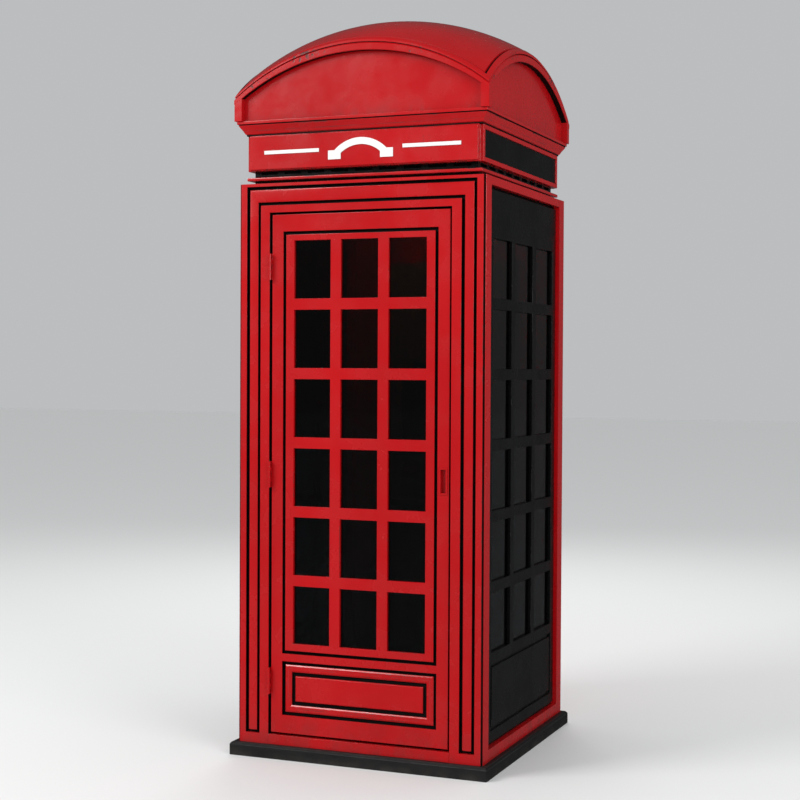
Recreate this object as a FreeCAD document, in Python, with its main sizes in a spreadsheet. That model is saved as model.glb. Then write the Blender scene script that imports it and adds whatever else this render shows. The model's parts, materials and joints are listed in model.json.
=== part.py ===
import FreeCAD, Part
import math
import os

import Sketcher
from FreeCAD import Placement, Rotation, Vector

# Street telephone booth with a sail-vaulted roof, a glazed swing door and a coin telephone inside.
# Millimetres. X runs along the front, -Y is the front (the door side) and +Z is up.
# The origin is the centre of the plinth's underside.

DOC = FreeCAD.newDocument("TelephoneBooth")

# Driving dimensions, kept in the spreadsheet: name -> millimetres (counts are plain numbers).
DRIVING_SIZES = {
    # overall
    "body_side": 1000,          # width and depth of the square body
    "body_height": 2146,        # cast body, from the plinth to its top ledge
    "plinth_height": 50,
    "plinth_lip": 25,           # plinth beyond the body, each side
    "plinth_chamfer": 8,
    "floor_thickness": 10,
    "anchor_inset": 39,         # anchor hole centre to the inner face of the walls
    "anchor_radius": 9,
    # front frame round the door
    "frame_depth": 66,
    "corner_quirk": 8,
    "strip_outer": 33,          # plain strip between the corner and the reed channel
    "channel_width": 59,        # sunk channel that the reed stands in
    "channel_depth": 16,
    "channel_top_drop": 12,     # body top to channel
    "channel_top_width": 72,
    "reed_gap": 12,             # channel wall to reed
    "strip_inner": 38,          # plain strip between the channel and the doorway
    "head_height": 112,         # doorway's top to the body's top
    "sill_height": 38,
    "stop_width": 24,           # door stop, at the back of the doorway
    "stop_gap": 2,              # door's back to the stop
    "sill_stop_height": 16,
    # side and back castings
    "side_top_rail": 31,
    "side_bottom_rail": 45,
    "side_setback": 12,
    "back_border": 66,
    "back_setback": 14,
    "back_plate": 14,
    "bolt_radius": 10,
    "bolt_head": 7,
    "bolt_inset": 40,           # from the front and back castings
    "bolt_low_drop": 15,        # below the bottom rail's top
    # windows
    "bar_width": 43,
    "pane_low": 391,            # plinth top to the lowest pane
    "side_margin": 60,
    "margin_top": 23,
    "margin_bottom": 28,
    "margin_side": 34,
    "window_quirk": 12,         # step between a window casting and what holds it
    "flange_thickness": 12,
    "glass_thickness": 6,
    "rebate": 8,                # how far a pane runs in under the bars
    "glass_clearance": 1,
    "retainer_thickness": 10,
    "retainer_inset": 8,
    "side_panel_height": 250,
    "side_panel_border": 55,
    "side_panel_groove": 14,
    "side_panel_groove_depth": 8,
    "screw_radius": 5,
    "screw_head": 4,
    # door leaf
    "door_gap": 8,
    "door_setback": 8,
    "door_thickness": 40,
    "stile_width": 46.5,
    "top_rail": 65,
    "bottom_rail": 69,
    "kick_opening": 206,
    "kick_plate": 12,
    "kick_sink": 12,            # kick plate behind the door's face
    "kick_gap": 12,
    "kick_strip": 28,
    "kick_strip_rise": 10,
    "kick_inner_gap": 14,
    "kick_field_rise": 8,
    "kick_field_chamfer": 3,
    # door furniture
    "hinge_height": 100,
    "hinge_pin_radius": 2.5,
    "hinge_barrel_radius": 6,
    "hinge_leaf": 2.8,
    "hinge_leaf_depth": 30,
    "hinge_pin_fit": 0.05,      # radial, pin in the fixed knuckles
    "hinge_running_fit": 0.1,   # radial, pin in the moving knuckles
    "knuckle_gap": 0.5,
    "hinge_tab_root": 2,        # knuckle tabs run this far into their leaf
    "cup_height": 90,
    "cup_width": 24,
    "cup_depth": 18,
    "cup_wall": 2,
    "cup_flange": 5,
    "cup_centre": 1030,         # plinth top to the pull's middle
    "inner_handle_height": 180,
    "inner_handle_reach": 40,
    "inner_handle_bar": 14,
    "inner_handle_inset": 4,    # from the stile's inner edge, clear of the door stop
    # upper works
    "neck_inset": 45,           # neck behind the body's faces
    "neck_wall": 12,
    "neck_height": 51,
    "vent_slot_length": 70,
    "vent_slot_height": 10,
    "vent_slot_drop": 3,
    "string_low": 14,
    "string_height": 12,
    "string_projection": 23,
    "fascia_height": 135,
    "fascia_inset": 20,         # fascia behind the body's faces
    "fascia_wall": 28,
    "fascia_notch": 14,
    "sign_border": 17,
    "sign_recess": 10,
    "sign_thickness": 6,
    "front_sign_inset": 3,      # front sign to the fascia's corner notches
    "front_sign_margin": 4,     # and to its top and bottom
    "symbol_relief": 3,
    "symbol_rise": 40,          # top of the grip above the sign's middle
    "symbol_drop": 38,          # bottom of the end pieces below it
    "symbol_grip_radius": 150,
    "symbol_grip_width": 26,
    "symbol_grip_fall": 70,     # how far down the arc of the grip runs
    "symbol_reach": 108,
    "symbol_end_width": 52,
    "symbol_end_height": 34,
    "symbol_end_inset": 2,
    "rule_near": 170,
    "rule_far": 400,
    "rule_width": 14,
    "cornice_height": 54,
    "cornice_flare": 28,
    "cornice_lip": 12,
    "cornice_wall": 26,
    # roof
    "roof_overhang": 16,        # hoods beyond the body's faces
    "roof_crown": 275,          # cornice top to the crown of each face's arch
    "roof_spring": 90,          # cornice top to the roof edge at the corners
    "roof_skin": 14,
    "hood_projection": 26,
    "hood_crown": 39,           # hood moulding's depth at its crown
    "hood_spring": 28,          # and at the corners
    # inside
    "ceiling_thickness": 8,
    "lamp_radius": 80,
    "lamp_wall": 4,
    "lamp_base_height": 15,
    "backboard_thickness": 20,
    "backboard_half": 300,
    "backboard_low": 900,
    "backboard_drop": 180,      # its top below the back casting's border
    "shelf_half": 280,
    "shelf_depth": 190,
    "shelf_thickness": 18,
    "shelf_low": 925,
    "bracket_inset": 60,        # from the shelf's end
    "bracket_thickness": 6,
    "bracket_reach": 150,
    "bracket_tip": 6,
    "bracket_toe": 12,
    "bracket_rise": 2,          # toe above the backboard's bottom edge
    "conduit_radius": 9.5,
    "conduit_gap": 2,           # conduit to the plane of the inner walls
    "conduit_inset": 30,        # from the telephone's right edge
    # coin telephone
    "phone_half": 150,
    "phone_height": 420,
    "phone_depth": 150,
    "phone_low": 1030,
    "phone_fillet": 10,
    "chute_margin": 8,          # coin slot plate to the chute behind it
    "chute_depth": 25,
    "slot_plate_left": 70,      # from the telephone's middle
    "slot_plate_width": 56,
    "slot_plate_low": 340,      # from the telephone's underside
    "slot_plate_height": 50,
    "slot_plate_thickness": 4,
    "coin_slot_width": 3,
    "coin_slot_height": 24,
    "coin_slot_pitch": 16,
    "coin_slot_inset": 10,
    "refund_left": 125,
    "refund_width": 60,
    "refund_low": 25,
    "refund_height": 45,
    "refund_depth": 35,
    "refund_wall": 3,
    "lock_across": 70,
    "lock_up": 50,
    "lock_radius": 12,
    "lock_proud": 4,
    "dial_across": 45,
    "dial_up": 250,
    "dial_radius": 46,
    "dial_plate": 5,
    "wheel_radius": 38,
    "wheel_thickness": 3,
    "wheel_gap": 0.6,
    "wheel_hub_radius": 14,
    "wheel_hub": 2,
    "finger_hole_radius": 6.5,
    "finger_ring_radius": 27,
    "finger_stop_reach": 39,    # from the dial's centre to the stop's outer end
    "finger_stop_length": 19,
    "finger_stop_drop": 19,
    "finger_stop_width": 5,
    "finger_stop_foot": 3,
    "finger_stop_clear": 1.5,
    "finger_stop_thickness": 2.5,
    "button_across": 100,
    "button_up": 120,
    "button_radius": 11,
    "button_length": 30,
    "button_proud": 18,
    "button_fit": 0.3,
    "button_travel": 6,
    "button_spare": 2,          # well depth beyond the button's travel
    "collar_radius": 18,
    "collar_height": 6,
    "cradle_height": 50,
    "cradle_setback": 62,       # cradle's middle behind the telephone's face
    "cradle_half": 65,
    "cradle_depth": 60,
    "cradle_plate": 6,
    "horn_spacing": 45,
    "horn_width": 12,
    "cheek_thickness": 5,
    "cheek_height": 14,
    "cheek_gap": 2,             # between a cheek and the grip
    "plunger_radius": 6,
    "plunger_depth": 15,
    "plunger_well": 20,
    "handset_radius": 12,
    "handset_half": 95,
    "earpiece_radius": 28,
    "earpiece_height": 40,
    "earpiece_rise": 8,         # top of the end pieces above the grip's axis
    "soft_gap": 0.3,
}

SHEET = DOC.addObject("Spreadsheet::Sheet", "Sizes")
NODES = []


class Size:
    """A length that carries its value in millimetres and its spreadsheet formula."""

    def __init__(self, value, formula):
        self.value = float(value)
        self.formula = formula

    def __add__(self, other):
        other = as_size(other)
        return Size(self.value + other.value, f"({self.formula} + {other.formula})")

    def __sub__(self, other):
        other = as_size(other)
        return Size(self.value - other.value, f"({self.formula} - {other.formula})")

    def __mul__(self, other):
        other = as_size(other)
        return Size(self.value * other.value, f"({self.formula} * {other.formula})")

    def __truediv__(self, other):
        other = as_size(other)
        return Size(self.value / other.value, f"({self.formula} / {other.formula})")

    def __radd__(self, other):
        return as_size(other) + self

    def __rsub__(self, other):
        return as_size(other) - self

    def __rmul__(self, other):
        return as_size(other) * self

    def __neg__(self):
        return Size(-self.value, f"(0 - {self.formula})")


def as_size(number):
    """A Size as it is, or a plain number as one."""
    return number if isinstance(number, Size) else Size(number, repr(float(number)))


def root(size):
    """The square root of a Size."""
    return Size(math.sqrt(size.value), f"sqrt({size.formula})")


class Sheet:
    """The driving sizes as attributes: S.body_side and so on."""


S = Sheet()
for line, (alias, value) in enumerate(DRIVING_SIZES.items(), start=1):
    SHEET.set(f"A{line}", alias)
    SHEET.set(f"B{line}", str(value))
    SHEET.setAlias(f"B{line}", alias)
    setattr(S, alias, Size(value, f"Sizes.{alias}"))
DOC.recompute()


# ---- primitives bound to the spreadsheet ----

def bind(thing, **properties):
    """Ties each property of a document object to a size's formula."""
    for name, size in properties.items():
        thing.setExpression(name, as_size(size).formula)


def locate(thing, x, y, z):
    """Ties a document object's position to three sizes."""
    for axis, size in (("x", x), ("y", y), ("z", z)):
        thing.setExpression(f".Placement.Base.{axis}", as_size(size).formula)


def either_side(half):
    """The (low, high) pair from -half to +half."""
    return (-as_size(half), as_size(half))


def box(name, x, y, z):
    """A block between two planes on each axis; x, y and z are (low, high) pairs."""
    block = DOC.addObject("Part::Box", name)
    bind(block, Length=as_size(x[1]) - x[0], Width=as_size(y[1]) - y[0], Height=as_size(z[1]) - z[0])
    locate(block, x[0], y[0], z[0])
    return block


TURNED = {"X": Rotation(Vector(0, 1, 0), 90), "Y": Rotation(Vector(1, 0, 0), -90), "Z": Rotation()}


def cylinder(name, radius, start, length, axis="Z"):
    """A round bar from the point start, along +axis."""
    bar = DOC.addObject("Part::Cylinder", name)
    bar.Placement = Placement(Vector(), TURNED[axis])
    bind(bar, Radius=radius, Height=length)
    locate(bar, *start)
    return bar


def sphere(name, radius, z):
    """A ball on the booth's centre line."""
    ball = DOC.addObject("Part::Sphere", name)
    bind(ball, Radius=radius)
    locate(ball, 0, 0, z)
    return ball


def fuse(name, *solids):
    """The solids joined into one."""
    joined = DOC.addObject("Part::MultiFuse", name)
    joined.Shapes = list(solids)
    return joined


def common(name, *solids):
    """What all the solids share."""
    shared = DOC.addObject("Part::MultiCommon", name)
    shared.Shapes = list(solids)
    return shared


def cut(name, base, *tools):
    """The base with every tool taken away."""
    result = DOC.addObject("Part::Cut", name)
    result.Base = base
    result.Tool = tools[0] if len(tools) == 1 else fuse(name + "_tools", *tools)
    return result


def mirrored(name, source):
    """The source reflected in the plane X = 0."""
    copy = DOC.addObject("Part::Mirroring", name)
    copy.Source = source
    copy.Normal = Vector(1, 0, 0)
    return copy


def node(name, *solids):
    """Registers one sub-part: a single object, or several separate solids under one name."""
    if len(solids) == 1:
        part = solids[0]
    else:
        part = DOC.addObject("Part::Compound", name)
        part.Links = list(solids)
    part.Label = name
    NODES.append(part)
    return part


# ---- PartDesign bodies ----

class Bench:
    """One PartDesign body, built from sketches of rectangles, circles and polygons."""

    def __init__(self, name):
        self.name = name
        self.body = DOC.addObject("PartDesign::Body", name)
        self.planes = {feature.Role: feature for feature in self.body.Origin.OriginFeatures}
        self.count = 0

    def sketch(self, plane, offset):
        """A sketch on an origin plane, offset along the plane's outward normal.

        The front plane XZ looks along -Y, so an offset of 500 puts its sketch at y = -500.
        """
        self.count += 1
        drawing = self.body.newObject("Sketcher::SketchObject", f"{self.name}_sketch{self.count}")
        drawing.AttachmentSupport = (self.planes[f"{plane}_Plane"], [""])
        drawing.MapMode = "FlatFace"
        drawing.setExpression("AttachmentOffset.Base.z", as_size(offset).formula)
        return drawing

    def feature(self, kind, drawing, length, backwards=False):
        """A Pad or Pocket of a sketch. A pad follows the normal, a pocket goes against it."""
        self.count += 1
        made = self.body.newObject(f"PartDesign::{kind}", f"{self.name}_{kind.lower()}{self.count}")
        made.Profile = drawing
        made.Reversed = backwards
        bind(made, Length=length)
        drawing.Visibility = False
        DOC.recompute()
        return made

    def rows_and_columns(self, features, drawing, columns, column_pitch, rows, row_pitch):
        """Repeats features on a grid along the sketch's own axes."""
        self.count += 1
        pattern = self.body.newObject("PartDesign::LinearPattern", f"{self.name}_pattern{self.count}")
        pattern.Originals = features
        pattern.Direction = (drawing, ["H_Axis"])
        pattern.Occurrences = columns
        bind(pattern, Length=(columns - 1) * column_pitch)
        if rows > 1:
            pattern.Direction2 = (drawing, ["V_Axis"])
            pattern.Occurrences2 = rows
            bind(pattern, Length2=(rows - 1) * row_pitch)
        self.body.Tip = pattern
        return pattern

    def soften(self, kind, size, chosen):
        """A Fillet or Chamfer on the edges that chosen(edge) picks from the body so far."""
        DOC.recompute()
        base = self.body.Tip
        names = [f"Edge{i}" for i, edge in enumerate(base.Shape.Edges, start=1) if chosen(edge)]
        made = self.body.newObject(f"PartDesign::{kind}", f"{self.name}_{kind.lower()}")
        made.Base = (base, names)
        bind(made, **{"Radius" if kind == "Fillet" else "Size": size})
        return made


def polygon(drawing, points):
    """A closed outline through the points, each held by its distance from the sketch's origin."""
    corners = [Vector(as_size(x).value, as_size(y).value, 0) for x, y in points]
    lines = [
        drawing.addGeometry(Part.LineSegment(corner, corners[(i + 1) % len(corners)]), False)
        for i, corner in enumerate(corners)
    ]
    for i, edge in enumerate(lines):
        drawing.addConstraint(Sketcher.Constraint("Coincident", edge, 2, lines[(i + 1) % len(lines)], 1))
    for edge, point in zip(lines, points):
        for kind, size in zip(("DistanceX", "DistanceY"), point):
            held = Sketcher.Constraint(kind, -1, 1, edge, 1, as_size(size).value)
            number = drawing.addConstraint(held)
            drawing.setExpression(f"Constraints[{number}]", as_size(size).formula)


def rectangle(drawing, across, up):
    """A rectangle between two (low, high) pairs."""
    polygon(drawing, [(across[0], up[0]), (across[1], up[0]), (across[1], up[1]), (across[0], up[1])])


def circle(drawing, x, y, radius):
    """A circle about a point."""
    centre = Vector(as_size(x).value, as_size(y).value, 0)
    ring = drawing.addGeometry(Part.Circle(centre, Vector(0, 0, 1), as_size(radius).value), False)
    for kind, size in (("DistanceX", x), ("DistanceY", y)):
        held = Sketcher.Constraint(kind, -1, 1, ring, 3, as_size(size).value)
        number = drawing.addConstraint(held)
        drawing.setExpression(f"Constraints[{number}]", as_size(size).formula)
    number = drawing.addConstraint(Sketcher.Constraint("Radius", ring, as_size(radius).value))
    drawing.setExpression(f"Constraints[{number}]", as_size(radius).formula)


# ---- places that several sub-parts share ----

HALF = S.body_side / 2
INNER = HALF - S.frame_depth                        # clear half-width inside the walls
PLINTH_TOP = S.plinth_height
FLOOR_TOP = PLINTH_TOP + S.floor_thickness
BODY_TOP = PLINTH_TOP + S.body_height
SILL_TOP = PLINTH_TOP + S.sill_height
HEAD_LOW = BODY_TOP - S.head_height
DOORWAY_HALF = HALF - S.strip_outer - S.channel_width - S.strip_inner
STOP_HALF = DOORWAY_HALF - S.stop_width

DOOR_HALF = DOORWAY_HALF - S.door_gap
DOOR_LOW = SILL_TOP + S.door_gap
DOOR_HIGH = HEAD_LOW - S.door_gap
DOOR_FRONT = HALF - S.door_setback                  # distances in front of the centre
DOOR_BACK = DOOR_FRONT - S.door_thickness
STOP_FRONT = DOOR_BACK - S.stop_gap

PANE_LOW = PLINTH_TOP + S.pane_low
PANE_ROWS = 6
PANE_COLUMNS = 3
DOOR_WINDOW_HALF = DOOR_HALF - S.stile_width
DOOR_PANES_HALF = DOOR_WINDOW_HALF - S.window_quirk - S.margin_side
DOOR_PANE_WIDTH = (2 * DOOR_PANES_HALF - (PANE_COLUMNS - 1) * S.bar_width) / PANE_COLUMNS
WINDOW_LOW = PANE_LOW - S.margin_bottom - S.window_quirk
WINDOW_HIGH = DOOR_HIGH - S.top_rail
PANE_HIGH = WINDOW_HIGH - S.window_quirk - S.margin_top
PANE_HEIGHT = (PANE_HIGH - PANE_LOW - (PANE_ROWS - 1) * S.bar_width) / PANE_ROWS
KICK_LOW = DOOR_LOW + S.bottom_rail
KICK_HIGH = KICK_LOW + S.kick_opening

NECK_HALF = HALF - S.neck_inset
FASCIA_HALF = HALF - S.fascia_inset
ROOF_HALF = HALF + S.roof_overhang
NECK_TOP = BODY_TOP + S.neck_height
FASCIA_TOP = NECK_TOP + S.fascia_height
CORNICE_TOP = FASCIA_TOP + S.cornice_height
CEILING_LOW = NECK_TOP - S.ceiling_thickness

BOARD_FACE = HALF - S.back_setback - S.back_plate - S.backboard_thickness   # distance behind the centre
PHONE_TOP = S.phone_low + S.phone_height
PHONE_FACE = BOARD_FACE - S.phone_depth


# ---- base ----

def base():
    """The plinth slab, and the floor plate between the walls, with four anchor holes through both."""
    anchor = INNER - S.anchor_inset
    slab_half = HALF + S.plinth_lip

    def drilled(bench, bottom, half, thickness):
        outline = bench.sketch("XY", bottom)
        rectangle(outline, either_side(half), either_side(half))
        bench.feature("Pad", outline, thickness)
        drawing = bench.sketch("XY", bottom + thickness)
        for x in (-anchor, anchor):
            for y in (-anchor, anchor):
                circle(drawing, x, y, S.anchor_radius)
        bench.feature("Pocket", drawing, thickness)

    plinth = Bench("plinth")
    drilled(plinth, as_size(0), slab_half, S.plinth_height)
    plinth.soften(
        "Chamfer",
        S.plinth_chamfer,
        lambda edge: edge.BoundBox.ZMin > S.plinth_height.value - 0.1 and edge.Length > S.body_side.value / 2,
    )
    node("base_plinth", plinth.body)

    plate = Bench("floor")
    drilled(plate, PLINTH_TOP, INNER, S.floor_thickness)
    node("floor_plate", plate.body)


# ---- front frame ----

def front_frame():
    """The front casting: a plate with the doorway, a sunk channel for the reed, and the door stop.

    It is cast as two jambs, a head and a sill, so the whole is made once and then parted.
    """
    frame = Bench("front_casting")
    outline = frame.sketch("XZ", HALF)
    rectangle(outline, either_side(HALF), (PLINTH_TOP, BODY_TOP))
    frame.feature("Pad", outline, S.frame_depth, backwards=True)

    doorway = frame.sketch("XZ", HALF)
    rectangle(doorway, either_side(DOORWAY_HALF), (SILL_TOP, HEAD_LOW))
    frame.feature("Pocket", doorway, HALF - STOP_FRONT)
    light = frame.sketch("XZ", STOP_FRONT)
    rectangle(light, either_side(STOP_HALF), (SILL_TOP + S.sill_stop_height, HEAD_LOW - S.stop_width))
    frame.feature("Pocket", light, STOP_FRONT - INNER)

    channel = frame.sketch("XZ", HALF)
    outer = HALF - S.strip_outer
    inner = outer - S.channel_width
    top = BODY_TOP - S.channel_top_drop
    shoulder = top - S.channel_top_width
    polygon(channel, [
        (-outer, SILL_TOP), (-inner, SILL_TOP), (-inner, shoulder), (inner, shoulder),
        (inner, SILL_TOP), (outer, SILL_TOP), (outer, top), (-outer, top),
    ])
    frame.feature("Pocket", channel, S.channel_depth)

    corners = [
        box(f"front_quirk_{side}", x, (-HALF, -HALF + S.corner_quirk), (PLINTH_TOP, BODY_TOP))
        for side, x in (
            ("left", (-HALF, -HALF + S.corner_quirk)),
            ("right", (HALF - S.corner_quirk, HALF)),
        )
    ]
    whole = cut("front_whole", frame.body, *corners)

    depth = (-HALF, -INNER)
    regions = {
        "front_left_jamb": ((-HALF, -STOP_HALF), (PLINTH_TOP, BODY_TOP)),
        "front_right_jamb": ((STOP_HALF, HALF), (PLINTH_TOP, BODY_TOP)),
        "front_head": (either_side(STOP_HALF), (HEAD_LOW - S.stop_width, BODY_TOP)),
        "door_sill": (either_side(STOP_HALF), (PLINTH_TOP, SILL_TOP + S.sill_stop_height)),
    }
    for name, (x, z) in regions.items():
        node(name, common(name + "_cast", whole, box(name + "_region", x, depth, z)))

    reed_outer = outer - S.reed_gap
    reed_inner = inner + S.reed_gap
    reed_top = top - S.reed_gap
    reed_shoulder = shoulder + S.reed_gap
    reed_low = SILL_TOP + S.reed_gap
    face = (-HALF, -HALF + S.channel_depth)
    node(
        "front_reed_moulding",
        box("reed_left", (-reed_outer, -reed_inner), face, (reed_low, reed_shoulder)),
        box("reed_right", (reed_inner, reed_outer), face, (reed_low, reed_shoulder)),
        box("reed_top", either_side(reed_outer), face, (reed_shoulder, reed_top)),
    )


# ---- windows ----

def slab(name, wall, across, up, depth):
    """A block in a wall; depth is its (near, far) distance out from the booth's centre."""
    if wall == "front":
        return box(name, across, (-as_size(depth[1]), -as_size(depth[0])), up)
    return box(name, depth, across, up)


def window(name, wall, back, half, low, high, pane_width, lower_panel):
    """A window of 3 by 6 panes, whose back face lies at the distance back from the booth's centre.

    Returns its casting, its panes and its retaining grid. The panes lie in rebates in the casting's
    back, and the grid behind holds them in.
    """
    plane = "XZ" if wall == "front" else "YZ"
    flange_back = back + S.glass_thickness
    face = flange_back + S.flange_thickness
    pitch_across = pane_width + S.bar_width
    pitch_up = PANE_HEIGHT + S.bar_width
    left = -(PANE_COLUMNS * pane_width + (PANE_COLUMNS - 1) * S.bar_width) / 2
    first = ((left, left + pane_width), (PANE_LOW, PANE_LOW + PANE_HEIGHT))

    casting = Bench(name + "_casting")
    plate = casting.sketch(plane, back)
    rectangle(plate, either_side(half), (low, high))
    casting.feature("Pad", plate, S.glass_thickness)
    flange = casting.sketch(plane, flange_back)
    rectangle(flange, either_side(half - S.window_quirk), (low + S.window_quirk, high - S.window_quirk))
    casting.feature("Pad", flange, S.flange_thickness)
    if lower_panel:
        border = half - S.side_panel_border
        panel_low = low + S.side_panel_border
        ring = casting.sketch(plane, face)
        rectangle(ring, either_side(border), (panel_low, panel_low + S.side_panel_height))
        groove = S.side_panel_groove
        rectangle(
            ring,
            either_side(border - groove),
            (panel_low + groove, panel_low + S.side_panel_height - groove),
        )
        casting.feature("Pocket", ring, S.side_panel_groove_depth)
    light = casting.sketch(plane, face)
    rectangle(light, *first)
    through = casting.feature("Pocket", light, S.glass_thickness + S.flange_thickness)
    seat = casting.sketch(plane, back)
    (across_low, across_high), (up_low, up_high) = first
    rectangle(seat, (across_low - S.rebate, across_high + S.rebate), (up_low - S.rebate, up_high + S.rebate))
    rebate = casting.feature("Pocket", seat, S.glass_thickness, backwards=True)
    casting.rows_and_columns([through, rebate], light, PANE_COLUMNS, pitch_across, PANE_ROWS, pitch_up)

    lap = S.rebate - S.glass_clearance
    panes = []
    for row in range(PANE_ROWS):
        for column in range(PANE_COLUMNS):
            start = left + column * pitch_across
            sill = PANE_LOW + row * pitch_up
            panes.append(slab(
                f"{name}_pane_{row}{column}",
                wall,
                (start - lap, start + pane_width + lap),
                (sill - lap, sill + PANE_HEIGHT + lap),
                (back, flange_back),
            ))

    retainer = Bench(name + "_retainer")
    grid = retainer.sketch(plane, back - S.retainer_thickness)
    grid_half = half - S.retainer_inset
    grid_up = (PANE_LOW - S.margin_bottom, PANE_HIGH + S.margin_top)
    rectangle(grid, either_side(grid_half), grid_up)
    retainer.feature("Pad", grid, S.retainer_thickness)
    hole = retainer.sketch(plane, back)
    rectangle(hole, *first)
    opening = retainer.feature("Pocket", hole, S.retainer_thickness)
    retainer.rows_and_columns([opening], hole, PANE_COLUMNS, pitch_across, PANE_ROWS, pitch_up)

    screws = []
    screw_line = (grid_half - left) / 2
    for side in (-1, 1):
        for row in range(PANE_ROWS):
            up = PANE_LOW + row * pitch_up + PANE_HEIGHT / 2
            face_in = back - S.retainer_thickness
            if wall == "front":
                axis, start = "Y", (side * screw_line, -face_in, up)
            else:
                axis, start = "X", (face_in - S.screw_head, side * screw_line, up)
            label = f"{name}_screw_{side}_{row}"
            screws.append(cylinder(label, S.screw_radius, start, S.screw_head, axis))
    return casting.body, panes, retainer.body, screws


def sides():
    """Each side wall: a top and a bottom rail between the front and back castings, and a window."""
    top = box("right_top_rail", (INNER, HALF), either_side(INNER), (BODY_TOP - S.side_top_rail, BODY_TOP))
    bottom_high = PLINTH_TOP + S.side_bottom_rail
    bottom = box("right_bottom_rail", (INNER, HALF), either_side(INNER), (PLINTH_TOP, bottom_high))
    node("right_side_rails", top, bottom)
    node("left_side_rails", mirrored("left_top_rail", top), mirrored("left_bottom_rail", bottom))

    face = HALF - S.side_setback
    back = face - S.flange_thickness - S.glass_thickness
    side_pane = (2 * (INNER - S.side_margin) - (PANE_COLUMNS - 1) * S.bar_width) / PANE_COLUMNS
    casting, panes, retainer, screws = window(
        "side_window", "right", back, INNER, bottom_high, BODY_TOP - S.side_top_rail, side_pane, True
    )
    node("right_window_casting", casting)
    node("left_window_casting", mirrored("left_casting", casting))
    node("right_window_glass", *panes)
    node("left_window_glass", *[mirrored(f"left_{pane.Name}", pane) for pane in panes])
    node("right_window_retainer", retainer)
    node("left_window_retainer", mirrored("left_retainer", retainer))
    node("side_retainer_screws", *screws, *[mirrored(f"left_{screw.Name}", screw) for screw in screws])

    bolts = []
    for side, x in ((-1, -INNER), (1, INNER - S.bolt_head)):
        for y in (-1, 1):
            for level, z in enumerate((bottom_high - S.bolt_low_drop, BODY_TOP - S.side_top_rail / 2)):
                bolt = DOC.addObject("Part::Prism", f"bolt_{side}_{y}_{level}")
                bolt.Polygon = 6
                bolt.Placement = Placement(Vector(), TURNED["X"])
                bind(bolt, Circumradius=S.bolt_radius, Height=S.bolt_head)
                locate(bolt, x, y * (INNER - S.bolt_inset), z)
                bolts.append(bolt)
    node("frame_bolts", *bolts)


def back_wall():
    """The back casting: a flanged border with a sunk plate, and corner quirks as on the front."""
    wall = Bench("back_casting")
    outline = wall.sketch("XZ", -HALF)
    rectangle(outline, either_side(HALF), (PLINTH_TOP, BODY_TOP))
    wall.feature("Pad", outline, S.frame_depth)
    inside = HALF - S.back_border
    low = PLINTH_TOP + S.back_border
    high = BODY_TOP - S.back_border
    sunk = wall.sketch("XZ", -HALF)
    rectangle(sunk, either_side(inside), (low, high))
    wall.feature("Pocket", sunk, S.back_setback, backwards=True)
    hollow = wall.sketch("XZ", -INNER)
    rectangle(hollow, either_side(inside), (low, high))
    wall.feature("Pocket", hollow, S.frame_depth - S.back_setback - S.back_plate)
    quirks = [
        box(f"back_quirk_{side}", x, (HALF - S.corner_quirk, HALF), (PLINTH_TOP, BODY_TOP))
        for side, x in (
            ("left", (-HALF, -HALF + S.corner_quirk)),
            ("right", (HALF - S.corner_quirk, HALF)),
        )
    ]
    node("back_panel", cut("back_whole", wall.body, *quirks))


# ---- upper works ----

def square_ring(name, outer, inner, z):
    """Four bars round a square: front and back run the full width, the sides fit between them."""
    return [
        box(name + "_front", either_side(outer), (-outer, -inner), z),
        box(name + "_back", either_side(outer), (inner, outer), z),
        box(name + "_left", (-outer, -inner), either_side(inner), z),
        box(name + "_right", (inner, outer), either_side(inner), z),
    ]


VENT_SLOTS_A_SIDE = 9


def vent_neck():
    """The recessed neck with ventilation slots, and the string moulding round it."""
    walls = []
    inner = NECK_HALF - S.neck_wall
    slot_top = NECK_TOP - S.vent_slot_drop
    slot_z = (slot_top - S.vent_slot_height, slot_top)
    pitch = 2 * inner / VENT_SLOTS_A_SIDE
    for wall in square_ring("neck", NECK_HALF, inner, (BODY_TOP, NECK_TOP)):
        along_x = wall.Name.endswith(("front", "back"))
        slots = []
        for i in range(VENT_SLOTS_A_SIDE):
            middle = -inner + (i + 0.5) * pitch
            run = (middle - S.vent_slot_length / 2, middle + S.vent_slot_length / 2)
            across = (-NECK_HALF, NECK_HALF)
            if along_x:
                slots.append(box(f"{wall.Name}_slot{i}", run, across, slot_z))
            else:
                slots.append(box(f"{wall.Name}_slot{i}", across, run, slot_z))
        walls.append(cut(wall.Name + "_slotted", wall, *slots))
    node("vent_neck", *walls)
    low = BODY_TOP + S.string_low
    outer = NECK_HALF + S.string_projection
    node("string_moulding", *square_ring("string", outer, NECK_HALF, (low, low + S.string_height)))


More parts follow.
